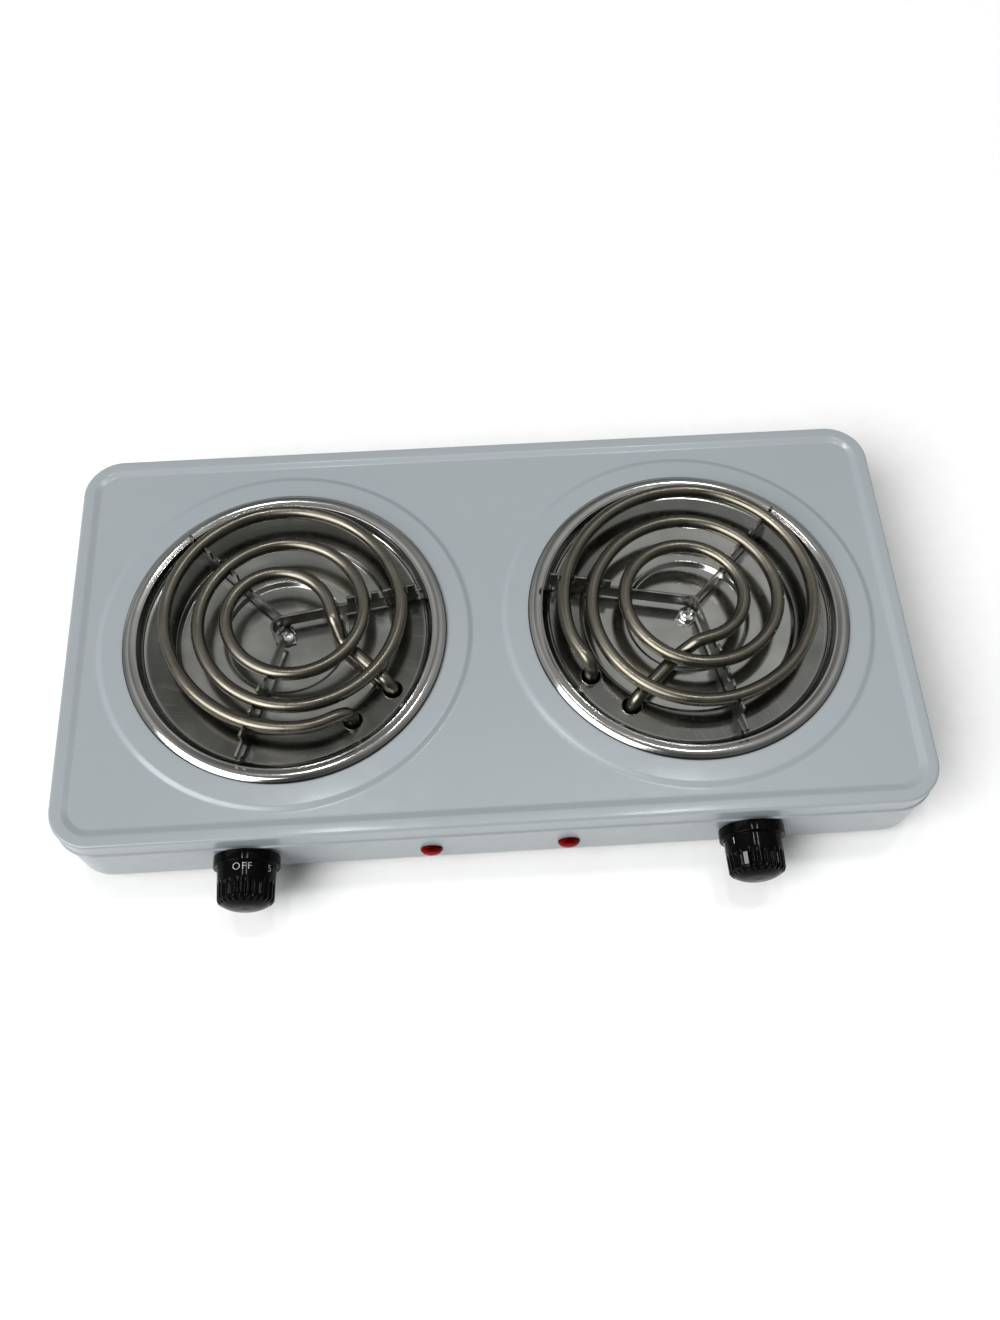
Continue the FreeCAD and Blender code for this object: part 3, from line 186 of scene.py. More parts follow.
def addNode(tree, kind, inputs=None, **settings):
    node = tree.nodes.new(kind)
    for label, value in settings.items():
        setattr(node, label, value)
    for label, value in (inputs or {}).items():
        node.inputs[label].default_value = value
    return node


def shaderNode(tree, kind, inputs=None, **settings):
    return addNode(tree, "ShaderNode" + kind, inputs, **settings)


def wire(tree, *rows):
    # each row: a node, its output, the next node, its input
    for source, output, target, entry in rows:
        tree.links.new(source.outputs[output], target.inputs[entry])


# geometry node trees

def startTree(name, inputs):
    tree = bpy.data.node_groups.new(name, "GeometryNodeTree")
    sockets = {}
    for label, kind in [("Geometry", "NodeSocketGeometry")] + inputs + [("Finish", "NodeSocketMaterial")]:
        sockets[label] = tree.interface.new_socket(label, in_out="INPUT", socket_type=kind)
    tree.interface.new_socket("Geometry", in_out="OUTPUT", socket_type="NodeSocketGeometry")
    return tree, sockets, addNode(tree, "NodeGroupInput")


def endTree(tree, given, last, output):
    realize = addNode(tree, "GeometryNodeRealizeInstances")
    paint = addNode(tree, "GeometryNodeSetMaterial")
    result = addNode(tree, "NodeGroupOutput")
    wire(tree, (last, output, realize, "Geometry"), (realize, "Geometry", paint, "Geometry"),
         (given, "Finish", paint, "Material"), (paint, "Geometry", result, "Geometry"))


def runTree(source, treeSockets, values, name):
    # evaluates the tree on its source and keeps the result as a plain mesh
    tree, sockets = treeSockets
    modifier = source.modifiers.new(tree.name, "NODES")
    modifier.node_group = tree
    for label, value in values.items():
        modifier[sockets[label].identifier] = value
    mesh = plainMesh(source)
    mesh.name = name
    source.modifiers.remove(modifier)
    bpy.data.objects.remove(source)
    return mesh


def tubeTree():
    # a round tube along a path, which keeps its place along and round the path for the finish
    inputs = [("Radius", "NodeSocketFloat"), ("Sides", "NodeSocketInt")]
    tree, sockets, given = startTree("tubeAlongPath", inputs)
    circle = addNode(tree, "GeometryNodeCurvePrimitiveCircle")
    place = addNode(tree, "GeometryNodeInputPosition")
    spoke = shaderNode(tree, "VectorMath", operation="NORMALIZE")
    mark = addNode(tree, "GeometryNodeStoreNamedAttribute", {"Name": "ring"}, data_type="FLOAT_VECTOR")
    spline = addNode(tree, "GeometryNodeSplineParameter")
    store = addNode(tree, "GeometryNodeStoreNamedAttribute", {"Name": "along"})
    sweep = addNode(tree, "GeometryNodeCurveToMesh", {"Fill Caps": True})
    smooth = addNode(tree, "GeometryNodeSetShadeSmooth")
    wire(tree, (given, "Radius", circle, "Radius"), (given, "Sides", circle, "Resolution"),
         (given, "Geometry", store, "Geometry"), (spline, "Factor", store, "Value"),
         (store, "Geometry", sweep, "Curve"), (place, "Position", spoke, 0),
         (circle, "Curve", mark, "Geometry"), (spoke, "Vector", mark, "Value"),
         (mark, "Geometry", sweep, "Profile Curve"), (sweep, "Mesh", smooth, "Geometry"))
    endTree(tree, given, smooth, "Geometry")
    return tree, sockets


def scatterTree():
    # the same piece at every point, turned so that its Z follows the point's own direction
    tree, sockets, given = startTree("pieceAtPoints", [("Piece", "NodeSocketObject")])
    info = addNode(tree, "GeometryNodeObjectInfo")
    facing = addNode(tree, "GeometryNodeInputNamedAttribute", {"Name": "facing"}, data_type="FLOAT_VECTOR")
    turn = addNode(tree, "FunctionNodeAlignRotationToVector", axis="Z")
    limits = {"Max": (0, 0, math.tau), "Seed": 7}
    twist = addNode(tree, "FunctionNodeRandomValue", limits, data_type="FLOAT_VECTOR")
    spin = addNode(tree, "FunctionNodeRotateRotation", rotation_space="LOCAL")
    instance = addNode(tree, "GeometryNodeInstanceOnPoints")
    wire(tree, (given, "Piece", info, "Object"), (facing, "Attribute", turn, "Vector"),
         (turn, "Rotation", spin, "Rotation"), (twist, "Value", spin, "Rotate By"),
         (given, "Geometry", instance, "Points"), (info, "Geometry", instance, "Instance"),
         (spin, "Rotation", instance, "Rotation"))
    endTree(tree, given, instance, "Instances")
    return tree, sockets


def atPoints(name, shape, spots, facing, finish, replaced):
    points = bpy.data.meshes.new(name + "Points")
    points.from_pydata(spots, [], [])
    layer = points.attributes.new("facing", "FLOAT_VECTOR", "POINT")
    for entry in layer.data:
        entry.vector = facing
    carrier = addObject(points)
    master = addObject(shape)
    mesh = runTree(carrier, scatter, {"Piece": master, "Finish": finishes[finish]}, name)
    bpy.data.objects.remove(master)
    finishPiece(mesh, name, None, "base", replaced)


tube = tubeTree()
scatter = scatterTree()
print("stage: trees ready")


# shader groups

def startGroup(name, inputs, outputs):
    group = bpy.data.node_groups.new(name, "ShaderNodeTree")
    for label, value in inputs.items():
        kind = "NodeSocketVector" if isinstance(value, tuple) else "NodeSocketFloat"
        socket = group.interface.new_socket(label, in_out="INPUT", socket_type=kind)
        socket.default_value = value
    for label in outputs:
        group.interface.new_socket(label, in_out="OUTPUT", socket_type="NodeSocketFloat")
    return group, addNode(group, "NodeGroupInput"), addNode(group, "NodeGroupOutput")


def mottleGroup():
    # soft cloudy mask on object coordinates
    inputs = {"Scale": 60.0, "Stretch": (1, 1, 1), "Detail": 4.0, "Low": 0.35, "High": 0.65}
    group, given, result = startGroup("mottle", inputs, ["Mask"])
    place = shaderNode(group, "TexCoord")
    stretch = shaderNode(group, "VectorMath", operation="MULTIPLY")
    noise = shaderNode(group, "TexNoise")
    spread = shaderNode(group, "MapRange")
    wire(group, (place, "Object", stretch, 0), (given, "Stretch", stretch, 1),
         (stretch, "Vector", noise, "Vector"), (given, "Scale", noise, "Scale"),
         (given, "Detail", noise, "Detail"), (noise, "Fac", spread, "Value"),
         (given, "Low", spread, "From Min"), (given, "High", spread, "From Max"),
         (spread, "Result", result, "Mask"))
    return group


def scratchGroup():
    # thin long marks lying along one direction
    inputs = {"Scale": 30.0, "Turn": 0.4, "Length": 14.0, "Rarity": 0.62}
    group, given, result = startGroup("hairScratches", inputs, ["Mask"])
    place = shaderNode(group, "TexCoord")
    turn = shaderNode(group, "VectorRotate", rotation_type="Z_AXIS")
    squeeze = shaderNode(group, "CombineXYZ", {"X": 1, "Z": 1})
    stretch = shaderNode(group, "VectorMath", operation="MULTIPLY")
    noise = shaderNode(group, "TexNoise", {"Detail": 1})
    limit = shaderNode(group, "Math", {1: 0.05}, operation="ADD")
    spread = shaderNode(group, "MapRange")
    wire(group, (place, "Object", turn, "Vector"), (given, "Turn", turn, "Angle"),
         (given, "Length", squeeze, "Y"), (turn, "Vector", stretch, 0), (squeeze, "Vector", stretch, 1),
         (stretch, "Vector", noise, "Vector"), (given, "Scale", noise, "Scale"),
         (noise, "Fac", spread, "Value"), (given, "Rarity", spread, "From Min"),
         (given, "Rarity", limit, 0), (limit, "Value", spread, "From Max"),
         (spread, "Result", result, "Mask"))
    return group


def turnedGroup():
    # fine rings round a centre, as spinning and polishing leave them
    inputs = {"Centre": (0, 0, 0), "Fineness": 900.0}
    group, given, result = startGroup("spunRings", inputs, ["Rings", "Radius"])
    place = shaderNode(group, "TexCoord")
    shift = shaderNode(group, "VectorMath", operation="SUBTRACT")
    flat = shaderNode(group, "VectorMath", {1: (1, 1, 0)}, operation="MULTIPLY")
    length = shaderNode(group, "VectorMath", operation="LENGTH")
    noise = shaderNode(group, "TexNoise", {"Detail": 3}, noise_dimensions="1D")
    wire(group, (place, "Object", shift, 0), (given, "Centre", shift, 1), (shift, "Vector", flat, 0),
         (flat, "Vector", length, 0), (length, "Value", noise, "W"), (given, "Fineness", noise, "Scale"),
         (noise, "Fac", result, "Rings"), (length, "Value", result, "Radius"))
    return group


mottle = mottleGroup()
scratches = scratchGroup()
spunRings = turnedGroup()


# materials

finishes = {}


class Finish:
    # one material, kept in finishes, with its Principled shader and short ways to wire it
    def __init__(self, name, **values):
        finishes[name] = bpy.data.materials.new(name)
        finishes[name].use_nodes = True
        self.tree = finishes[name].node_tree
        self.shader = self.tree.nodes["Principled BSDF"]
        for label, value in values.items():
            self.shader.inputs[label].default_value = value

    def node(self, kind, inputs=None, **settings):
        return shaderNode(self.tree, kind, inputs, **settings)

    def link(self, source, target):
        self.tree.links.new(source, target)

    def group(self, tree, output, **values):
        return self.node("Group", values, node_tree=tree).outputs[output]

    def cloud(self, scale, detail=4.0, **values):
        return self.group(mottle, "Mask", Scale=scale, Detail=detail, **values)

    def spread(self, value, limits):
        node = self.node("MapRange", limits)
        self.link(value, node.inputs["Value"])
        return node.outputs["Result"]

    def span(self, value, start, end):
        # a mask that goes from 0 at the start to 1 at the end
        return self.spread(value, {"From Min": start, "From Max": end})

    def values(self, mask, low, high):
        return self.spread(mask, {"To Min": low, "To Max": high})

    def colours(self, mask, first, second):
        mix = self.node("Mix", data_type="RGBA")
        self.link(mask, mix.inputs[0])
        for socket, colour in ((mix.inputs[6], first), (mix.inputs[7], second)):
            if isinstance(colour, bpy.types.NodeSocket):
                self.link(colour, socket)
            else:
                socket.default_value = (*colour, 1)
        return mix.outputs[2]

    def colour(self, mask, first, second):
        self.link(self.colours(mask, first, second), self.shader.inputs["Base Color"])

    def roughness(self, mask, low, high):
        self.link(self.values(mask, low, high), self.shader.inputs["Roughness"])

    def bump(self, height, strength, distance=0.0001):
        node = self.node("Bump", {"Strength": strength, "Distance": distance})
        self.link(height, node.inputs["Height"])
        self.link(node.outputs["Normal"], self.shader.inputs["Normal"])


def paintFinish():
    made = Finish("silverPaint", **{"Coat Weight": 0.3, "Coat Roughness": 0.13})
    flakes = made.cloud(2600.0, 1.0, Low=0.45, High=0.75)
    base = made.colours(made.cloud(7.0, 3.0), (0.294, 0.326, 0.346), (0.306, 0.338, 0.358))
    made.colour(made.values(flakes, 0.0, 0.22), base, (0.385, 0.424, 0.452))
    made.roughness(made.cloud(110.0), 0.30, 0.38)
    made.bump(made.cloud(620.0, 2.0, Low=0.25, High=0.75), 0.06, 0.0002)


def drawnMarks(made, along):
    # long streaks left by drawing the tube, on the sweep's own coordinates
    ring = made.node("Attribute", attribute_name="ring")
    stretch = made.node("Math", {1: 45}, operation="MULTIPLY")
    lift = made.node("CombineXYZ")
    place = made.node("VectorMath", {1: (5, 5, 0)}, operation="MULTIPLY_ADD")
    noise = made.node("TexNoise", {"Scale": 1, "Detail": 4})
    made.link(along, stretch.inputs[0])
    wire(made.tree, (stretch, "Value", lift, "Z"), (ring, "Vector", place, 0), (lift, "Vector", place, 2),
         (place, "Vector", noise, "Vector"))
    return made.span(noise.outputs["Fac"], 0.4, 0.7)


def coilFinish():
    made = Finish("sheathSteel", Metallic=1.0)
    along = made.node("Attribute", attribute_name="along")
    bands = made.node("TexNoise", {"Scale": 34, "Detail": 5}, noise_dimensions="1D")
    wire(made.tree, (along, "Fac", bands, "W"))
    drawn = drawnMarks(made, along.outputs["Fac"])
    smoke = made.cloud(55.0, 5.0)
    tint = made.colours(bands.outputs["Fac"], (0.108, 0.099, 0.076), (0.178, 0.164, 0.130))
    smoked = made.colours(made.values(smoke, 0.0, 0.45), tint, (0.138, 0.127, 0.108))
    made.colour(made.values(drawn, 0.0, 0.5), smoked, (0.26, 0.243, 0.205))
    made.roughness(smoke, 0.23, 0.34)
    made.bump(drawn, 0.10)


def steelFinish(name, dark, light, low, high, stretch=(1, 1, 1)):
    made = Finish(name, Metallic=1.0)
    drawn = made.cloud(700.0, 2.0, Stretch=stretch, Low=0.3, High=0.7)
    made.colour(made.cloud(90.0, 5.0), dark, light)
    made.roughness(drawn, low, high)
    made.bump(drawn, 0.08)


def zincFinish():
    # plated sheet: large crystal patches, each with its own sheen
    made = Finish("zincSheet", Metallic=1.0)
    place = made.node("TexCoord")
    crystals = made.node("TexVoronoi", {"Scale": 130})
    tone = made.node("SeparateColor")
    wire(made.tree, (place, "Object", crystals, "Vector"), (crystals, "Color", tone, "Color"))
    made.colour(tone.outputs["Red"], (0.50, 0.52, 0.53), (0.60, 0.62, 0.63))
    made.roughness(tone.outputs["Green"], 0.32, 0.48)
    made.bump(made.cloud(240.0), 0.05)


def plasticFinish(name, dark, light, low, high, grain, height):
    made = Finish(name)
    made.colour(made.cloud(80.0), dark, light)
    made.roughness(made.cloud(160.0, 5.0), low, high)
    made.bump(made.cloud(grain, 2.0, Low=0.25, High=0.75), height, 0.0002)


def knobFinish():
    made = Finish("knobGloss", **{"Specular IOR Level": 0.06})
    rubs = made.group(scratches, "Mask", Scale=120.0, Turn=1.1, Length=9.0, Rarity=0.64)
    base = made.colours(made.cloud(70.0), (0.0008, 0.0009, 0.0008), (0.0016, 0.0017, 0.0016))
    made.colour(made.values(rubs, 0.0, 0.10), base, (0.02, 0.02, 0.02))
    made.roughness(made.cloud(240.0), 0.07, 0.12)


steels = {  # dark and light tone, least and most roughness, how the grain is drawn out
    "stripSteel": ((0.09, 0.088, 0.080), (0.16, 0.156, 0.145), 0.28, 0.40, (1, 1, 6)),
    "screwBright": ((0.84, 0.84, 0.83), (0.92, 0.92, 0.91), 0.06, 0.12),
    "screwPlated": ((0.56, 0.57, 0.57), (0.66, 0.67, 0.68), 0.26, 0.38),
    "turnedSteel": ((0.46, 0.46, 0.45), (0.55, 0.55, 0.54), 0.25, 0.38, (1, 8, 1)),
    "plainBrass": ((0.62, 0.44, 0.19), (0.72, 0.54, 0.26), 0.25, 0.4),
    "bimetalStrip": ((0.50, 0.45, 0.36), (0.60, 0.55, 0.46), 0.28, 0.42, (1, 6, 1)),
}
wireSheen = (0.45, 0.62, 800.0, 0.1)
plastics = {  # dark and light tone, least and most roughness, fineness and height of the grain
    "footRubber": ((0.018, 0.018, 0.018), (0.032, 0.031, 0.030), 0.62, 0.82, 900.0, 0.2),
    "grommetRubber": ((0.014, 0.014, 0.014), (0.026, 0.026, 0.025), 0.5, 0.7, 900.0, 0.15),
    "dialPrint": ((0.72, 0.72, 0.70), (0.82, 0.82, 0.80), 0.42, 0.55, 1500.0, 0.08),
    "indexBar": ((0.15, 0.15, 0.15), (0.20, 0.20, 0.195), 0.42, 0.55, 1500.0, 0.08),
    "bulbGlass": ((0.80, 0.62, 0.50), (0.86, 0.70, 0.58), 0.05, 0.1, 300.0, 0.02),
    "stackCeramic": ((0.72, 0.68, 0.58), (0.80, 0.77, 0.69), 0.55, 0.75, 700.0, 0.15),
    "terminalPlastic": ((0.70, 0.69, 0.63), (0.77, 0.76, 0.71), 0.4, 0.55, 600.0, 0.08),
    "wireBlack": ((0.02, 0.02, 0.02), (0.035, 0.034, 0.033), *wireSheen),
    "wireRed": ((0.30, 0.02, 0.016), (0.38, 0.032, 0.024), *wireSheen),
    "wireWhite": ((0.66, 0.64, 0.58), (0.74, 0.72, 0.67), *wireSheen),
    "wireGreen": ((0.04, 0.20, 0.06), (0.06, 0.27, 0.09), *wireSheen),
    "paleFloor": ((0.92, 0.92, 0.92), (0.94, 0.94, 0.94), 0.75, 0.85, 40.0, 0.02),
}
for label, row in steels.items():
    steelFinish(label, *row)
for label, row in plastics.items():
    plasticFinish(label, *row)
paintFinish()
coilFinish()
zincFinish()
knobFinish()
print("stage: finishes ready")


# the pressed cover

cover = {
    "width": 480 * mm, "depth": 247.5 * mm, "middleY": 13.85 * mm, "top": 57 * mm, "corner": 24 * mm,
    "skirt": 14 * mm, "bend": 2.5 * mm, "rim": 7.6 * mm, "slope": 3.6 * mm, "drop": 1.25 * mm,
    "sheet": 0.8 * mm, "hem": 0.85 * mm, "hemHeight": 0.6 * mm, "press": 3.8 * mm, "land": 1.6 * mm,
    "plateau": 104.1 * mm, "plateauSlope": 2.8 * mm, "opening": 83.8 * mm,
    "cornerSteps": 18, "ringSteps": 192, "shading": 50,
}


def caseRing(inset, z):
    # points of a rounded rectangle, drawn in from the cover's outline
    radius = cover["corner"] - inset
    halfX = cover["width"] / 2 - cover["corner"]
    halfY = cover["depth"] / 2 - cover["corner"]
    ring = []
    for quarter, (x, y) in enumerate(((1, 1), (-1, 1), (-1, -1), (1, -1))):
        for k in range(cover["cornerSteps"] + 1):
            angle = math.pi / 2 * (quarter + k / cover["cornerSteps"])
            ring.append((x * halfX + radius * math.cos(angle),
                         cover["middleY"] + y * halfY + radius * math.sin(angle), z))
    return ring


def neighbours(ring):
    return list(zip(ring, ring[1:] + ring[:1]))


def makeCover():
    top, press, land = cover["top"], cover["press"], cover["land"]
    hem, fold = cover["hem"], cover["hemHeight"]
    deck = top - cover["drop"]
    low = top - cover["skirt"]
    inner = cover["rim"] + cover["slope"]
    line = bendRun([(0, low), (0, low + fold), (hem, low + fold * 2), (hem, top), (cover["rim"], top),
                    (inner, deck), (inner + land, deck)],
                   [fold / 2, fold / 2, cover["bend"] - hem, press, press])
    bm = bmesh.new()
    edge = neighbours(stitchRings(bm, [caseRing(inset, z) for inset, z in line])[-1])
    outer = cover["plateau"] + cover["plateauSlope"]
    line = bendRun([(outer + land, deck), (outer, deck), (cover["plateau"], top), (cover["opening"], top)],
                   [press, press])
    for sign in sides.values():
        x, y = sign * burner["x"], burner["y"]
        rings = [levelRing(radius, z, cover["ringSteps"], x, y) for radius, z in line]
        edge += neighbours(stitchRings(bm, rings)[0])
    border = [bm.edges.get(pair) for pair in edge]
    bmesh.ops.triangle_fill(bm, use_beauty=True, use_dissolve=False, edges=border, normal=(0, 0, 1))
    bmesh.ops.recalc_face_normals(bm, faces=bm.faces)
    bm.faces.ensure_lookup_table()
    if max(bm.faces, key=lambda face: face.calc_center_median().z).normal.z < 0:
        bmesh.ops.reverse_faces(bm, faces=bm.faces)
    bm.edges.index_update()
    cutEdges = [edge.index for edge in bm.edges if edge.is_boundary]
    mesh = meshFrom(bm, "cover")
    shadeByAngle(mesh, cover["shading"])
    for index in cutEdges:  # the sheet's cut edges stay crisp
        mesh.edges[index].use_edge_sharp = True
    piece = finishPiece(mesh, "cover", "silverPaint", "base", ["top_cover"])
    wall = piece.modifiers.new("sheet", "SOLIDIFY")
    wall.thickness = cover["sheet"]
    wall.offset = -1
    wall.use_even_offset = True


makeCover()
print("stage: cover pressed")


# drip pans, in millimetres from the plateau's top

pan = {
    "radius": 92, "bead": 3.6, "beadWidth": 9.2, "depth": 3.2, "lean": 1.6, "stepRadius": 60, "step": 2.1,
    "wellRadius": 34, "well": 2.2, "crown": 0.25, "sheet": 0.5, "screwHole": 2.7, "segments": 224,
    "flank": 0.35, "crest": 0.52,  # height of the outer side and place of the crown, as shares
    "crease": (7.1, 2.6), "shoulder": (8.3, 2.9), "rimBends": (0.72, 4.68, 0.4, 0.8, 1.2),
    "cove": 4.0, "fold": 0.9, "bendStep": 7, "shading": 40,
    "legHole": 5.4, "lip": 0.6, "lipFall": 0.7, "lipBends": (0.25, 0.2), "lipStep": 20, "legSegments": 48,
    "punch": 6,
    "polish": (0.45, 0.7),  # shares of the cove between which the polished rim turns into the floor
    "paintedShadowInsets": (0.75, 0.35),  # insets between which the outer edge is painted dark, a painted shadow of the gap under the rolled edge
    "rim": ((0.40, 0.402, 0.385), (0.46, 0.462, 0.442)),
    # edge: the colour of that painted shadow along the pan's outer edge
    "scuff": (0.42, 0.42, 0.40), "edge": (0.05, 0.05, 0.05),
    "left": {"band": ((0.140, 0.140, 0.125), (0.178, 0.178, 0.162)),  # the left floor toned darker than the right's, as painted shade
             "middle": ((0.38, 0.38, 0.355), (0.45, 0.45, 0.425)), "dull": 0.06},
    "right": {"band": ((0.215, 0.215, 0.202), (0.265, 0.265, 0.25)),
              "middle": ((0.45, 0.45, 0.425), (0.54, 0.54, 0.515)), "dull": 0.0},
}


def panFinish(side):
    # each pan gets its own copy of the finish, toned apart as painted light and shade
    sign, tone = sides[side], pan[side]
    made = Finish("panChrome_" + side, Metallic=1.0)
    centre = (sign * burner["x"], burner["y"], 0)
    radius = made.group(spunRings, "Radius", Centre=centre)
    haze = made.cloud(38.0, 5.0)
    marks = made.group(scratches, "Mask", Scale=46.0, Turn=0.7 + sign * 0.5, Length=22.0, Rarity=0.66)
    wallFoot = pan["radius"] - pan["beadWidth"] - pan["lean"]
    inner = made.span(radius, *[(wallFoot - pan["cove"] * share) * mm for share in pan["polish"]])
    stepped = made.span(radius, (pan["stepRadius"] + pan["step"]) * mm, pan["stepRadius"] * mm)
    paintedEdgeShadow = made.span(radius, *[(pan["radius"] - inset) * mm for inset in pan["paintedShadowInsets"]])
    band = made.colours(haze, *tone["band"])  # painted shade: the floor's outer band, under the coil's outer turns, is darkest
    floor = made.colours(stepped, band, made.colours(haze, *tone["middle"]))
    base = made.colours(inner, made.colours(haze, *pan["rim"]), floor)
    scuffed = made.colours(made.values(marks, 0.0, 0.25), base, pan["scuff"])
    # painted shadow: the outer edge goes near black
    made.colour(paintedEdgeShadow, scuffed, pan["edge"])
    sheen = made.node("Math", operation="ADD")
    made.link(made.values(haze, 0.10, 0.15), sheen.inputs[0])
    made.link(made.values(inner, 0.0, tone["dull"]), sheen.inputs[1])
    made.link(sheen.outputs["Value"], made.shader.inputs["Roughness"])
    made.bump(made.group(spunRings, "Rings", Centre=centre, Fineness=1400.0), 0.10)


def panLine():
    # the upper face, from the outer edge over the rolled rim and down to the screw's hole
    outer, floor, step = pan["radius"], -pan["depth"], pan["step"]
    wall = outer - pan["beadWidth"]
    bottom = floor - step - pan["well"]
    crease, shoulder = pan["crease"], pan["shoulder"]
    points = [(outer, pan["sheet"]), (outer, pan["bead"] * pan["flank"]),
              (outer - crease[0] * pan["crest"], pan["bead"] + pan["crown"]),
              (outer - crease[0], crease[1]), (outer - shoulder[0], shoulder[1]), (wall, 0),
              (wall - pan["lean"], floor), (pan["stepRadius"] + step, floor),
              (pan["stepRadius"], floor - step), (pan["wellRadius"] + pan["well"], floor - step),
              (pan["wellRadius"], bottom), (pan["screwHole"], bottom)]
    return bendRun(points, [*pan["rimBends"], pan["cove"]] + [pan["fold"]] * 4, pan["bendStep"])


def turnedAt(spot, name, line, closed=False):
    mesh = latheMesh(name, line, pan["legSegments"], closed)
    mesh.transform(Matrix.Translation((spot[0] * mm, spot[1] * mm, 0)))
    return mesh


def makePan(side, legs):
    section = wallProfile(panLine(), -pan["sheet"])
    body = addObject(latheMesh("panTurned", section, pan["segments"], closed=True))
    hole, lip, floor = pan["legHole"], pan["lip"], -pan["depth"]
    low, high, under = floor - pan["punch"], floor + pan["punch"], floor - pan["sheet"]
    for leg in legs:
        tool = addObject(turnedAt(leg, "punch", [(0, low), (hole, low), (hole, high), (0, high)]))
        addCut(body, tool)
        cutMesh = plainMesh(body)
        body.modifiers.clear()
        body.data = cutMesh
        bpy.data.objects.remove(tool)
    bm = bmesh.new()
    bm.from_mesh(body.data)
    bpy.data.objects.remove(body)
    collar = bendRun([(hole, under), (hole, floor + lip), (hole + lip, floor + lip * pan["lipFall"]),
                      (hole + lip, under)], pan["lipBends"], pan["lipStep"])
    for leg in legs:
        bm.from_mesh(turnedAt(leg, "lip", collar, closed=True))
    mesh = meshFrom(bm, "pan_" + side)
    mesh.transform(burnerPlace(sides[side]))
    shadeByAngle(mesh, pan["shading"])
    finishPiece(mesh, "pan_" + side, "panChrome_" + side, "base", ["drip_pan_" + side])


# heating tubes, each wound in quarter turns from its inner end outwards

winding = {
    "radius": 3.8 * mm, "sides": 28, "rise": 11, "pass": 8.3, "leg": 40, "bend": 9, "bendStep": 6,
    "arcStep": 2.5, "arcLeast": 8, "tailRadius": 45, "tailTurn": 22, "tailRun": 12.5,
    "lead": ((-10, 0), (-21.5, -1.5), (-55.4, -20.1)),
    "left": {"start": (26.5, 10), "heading": 105, "lastTurn": 76,
             "radii": (30.5, 28.5, 38.5, 40, 45, 49.5, 55.5, 60, 67.5, 65.5, 75)},
    "right": {"start": (10, -22.5), "heading": 15, "lastTurn": 83,
              "radii": (28, 34, 34, 44, 43, 51.5, 56, 60.5, 68, 69, 74.5)},
}
supportEdges = {"angle": 30, "bevel": 0.12 * mm}


def heading(degrees):
    return Vector((math.cos(math.radians(degrees)), math.sin(math.radians(degrees)), 0))


def windingRun(side):
    # the tube's middle line in millimetres, and where its two legs go down
    made = winding[side]
    rise, bend, bendStep = winding["rise"], winding["bend"], winding["bendStep"]
    lower, end = rise - winding["pass"], rise - winding["leg"]
    along, across = heading(made["heading"]), heading(made["heading"] + 90)
    spot = Vector((*made["start"], rise))
    risen, dipped, inner = [spot + along * ahead + across * aside for ahead, aside in winding["lead"]]
    dipped.z = lower
    innerEnd = Vector((inner.x, inner.y, end))
    run = bendRun([innerEnd, (inner.x, inner.y, lower), dipped, risen, spot], [bend, bend, bend], bendStep)
    angle = made["heading"]
    turns = [(radius, 90) for radius in made["radii"][:-1]]
    turns += [(made["radii"][-1], made["lastTurn"]), (winding["tailRadius"], winding["tailTurn"])]
    for radius, sweep in turns:
        centre = spot + heading(angle + 90) * radius
        count = max(winding["arcLeast"], int(sweep / winding["arcStep"]))
        run += [centre - heading(angle + sweep * k / count + 90) * radius for k in range(1, count + 1)]
        spot = run[-1]
        angle += sweep
    outer = spot + heading(angle) * winding["tailRun"]
    outerEnd = Vector((outer.x, outer.y, end))
    run += bendRun([spot, outer, outerEnd], [bend], bendStep)[1:]
    return run, [(leg.x, leg.y) for leg in (innerEnd, outerEnd)]


def makeCoil(side, run):
    curve = bpy.data.curves.new("coilPath", "CURVE")
    curve.dimensions = "3D"
    spline = curve.splines.new("POLY")
    spline.points.add(len(run) - 1)
    for point, place in zip(spline.points, run):
        point.co = (*(burnerPlace(sides[side]) @ (place * mm)), 1)
    path = addObject(curve)
    values = {"Radius": winding["radius"], "Sides": winding["sides"], "Finish": finishes["sheathSteel"]}
    mesh = runTree(path, tube, values, "coil_" + side)
    finishPiece(mesh, "coil_" + side, None, "base", ["heating_coil_" + side])


for sideName in sides:
    tubeRun, tubeLegs = windingRun(sideName)
    panFinish(sideName)
    makePan(sideName, tubeLegs)
    makeCoil(sideName, tubeRun)
    cadCopy("coil_support_" + sideName, "support_" + sideName, "stripSteel", "support_steel", **supportEdges)
print("stage: burners ready")


# knobs with their dial print, in millimetres from the case's front

knob = {
    "x": 138 * mm, "y": -108.9 * mm, "z": 29.5 * mm,
    "rear": 1.5, "collar": 18, "shoulder": 7.8, "radius": 15.9, "nose": 15.2, "front": 26.2, "tip": 30.5,
    "cavity": 12.5, "cavityDepth": 9, "dome": (0.62, 0.2), "bends": (0.2, 0.2, 0.3, 0.7, 0.35, 2.4, 14),
    "bendStep": 6, "ringsFrom": 7.7, "ringStep": 0.7, "shading": 45,
    "flutes": 24, "perFlute": 15, "fluteDepth": 1.0, "fluteStart": 15.6, "fluteFade": 3,
    "fluteCap": (12, 14.6), "fluteShape": 1.6,
    "turned": {"left": 0, "right": 88},  # how far each dial stands from OFF, clockwise
    "marks": (("OFF", 2), ("1", -140), ("2", -180), ("3", -220), ("4", -260), ("5", -300)),
    "markSize": 5.6, "markThin": 0.16, "markSpacing": 1.18, "markFrom": 12.4, "markProud": 0.03,
    "markHeight": 0.03, "markStrip": 0.6, "markWeld": 1e-4,
    "barAngle": -120, "barWidth": 11, "barShare": 0.8, "barFrom": 18, "barTo": 24.6, "barStrip": 0.4,
}


def knobPlace(side):
    return Matrix.Translation((sides[side] * knob["x"], knob["y"], knob["z"]))


def smoothStep(low, high, value):
    share = min(max((value - low) / (high - low), 0), 1)
    return share * share * (3 - 2 * share)


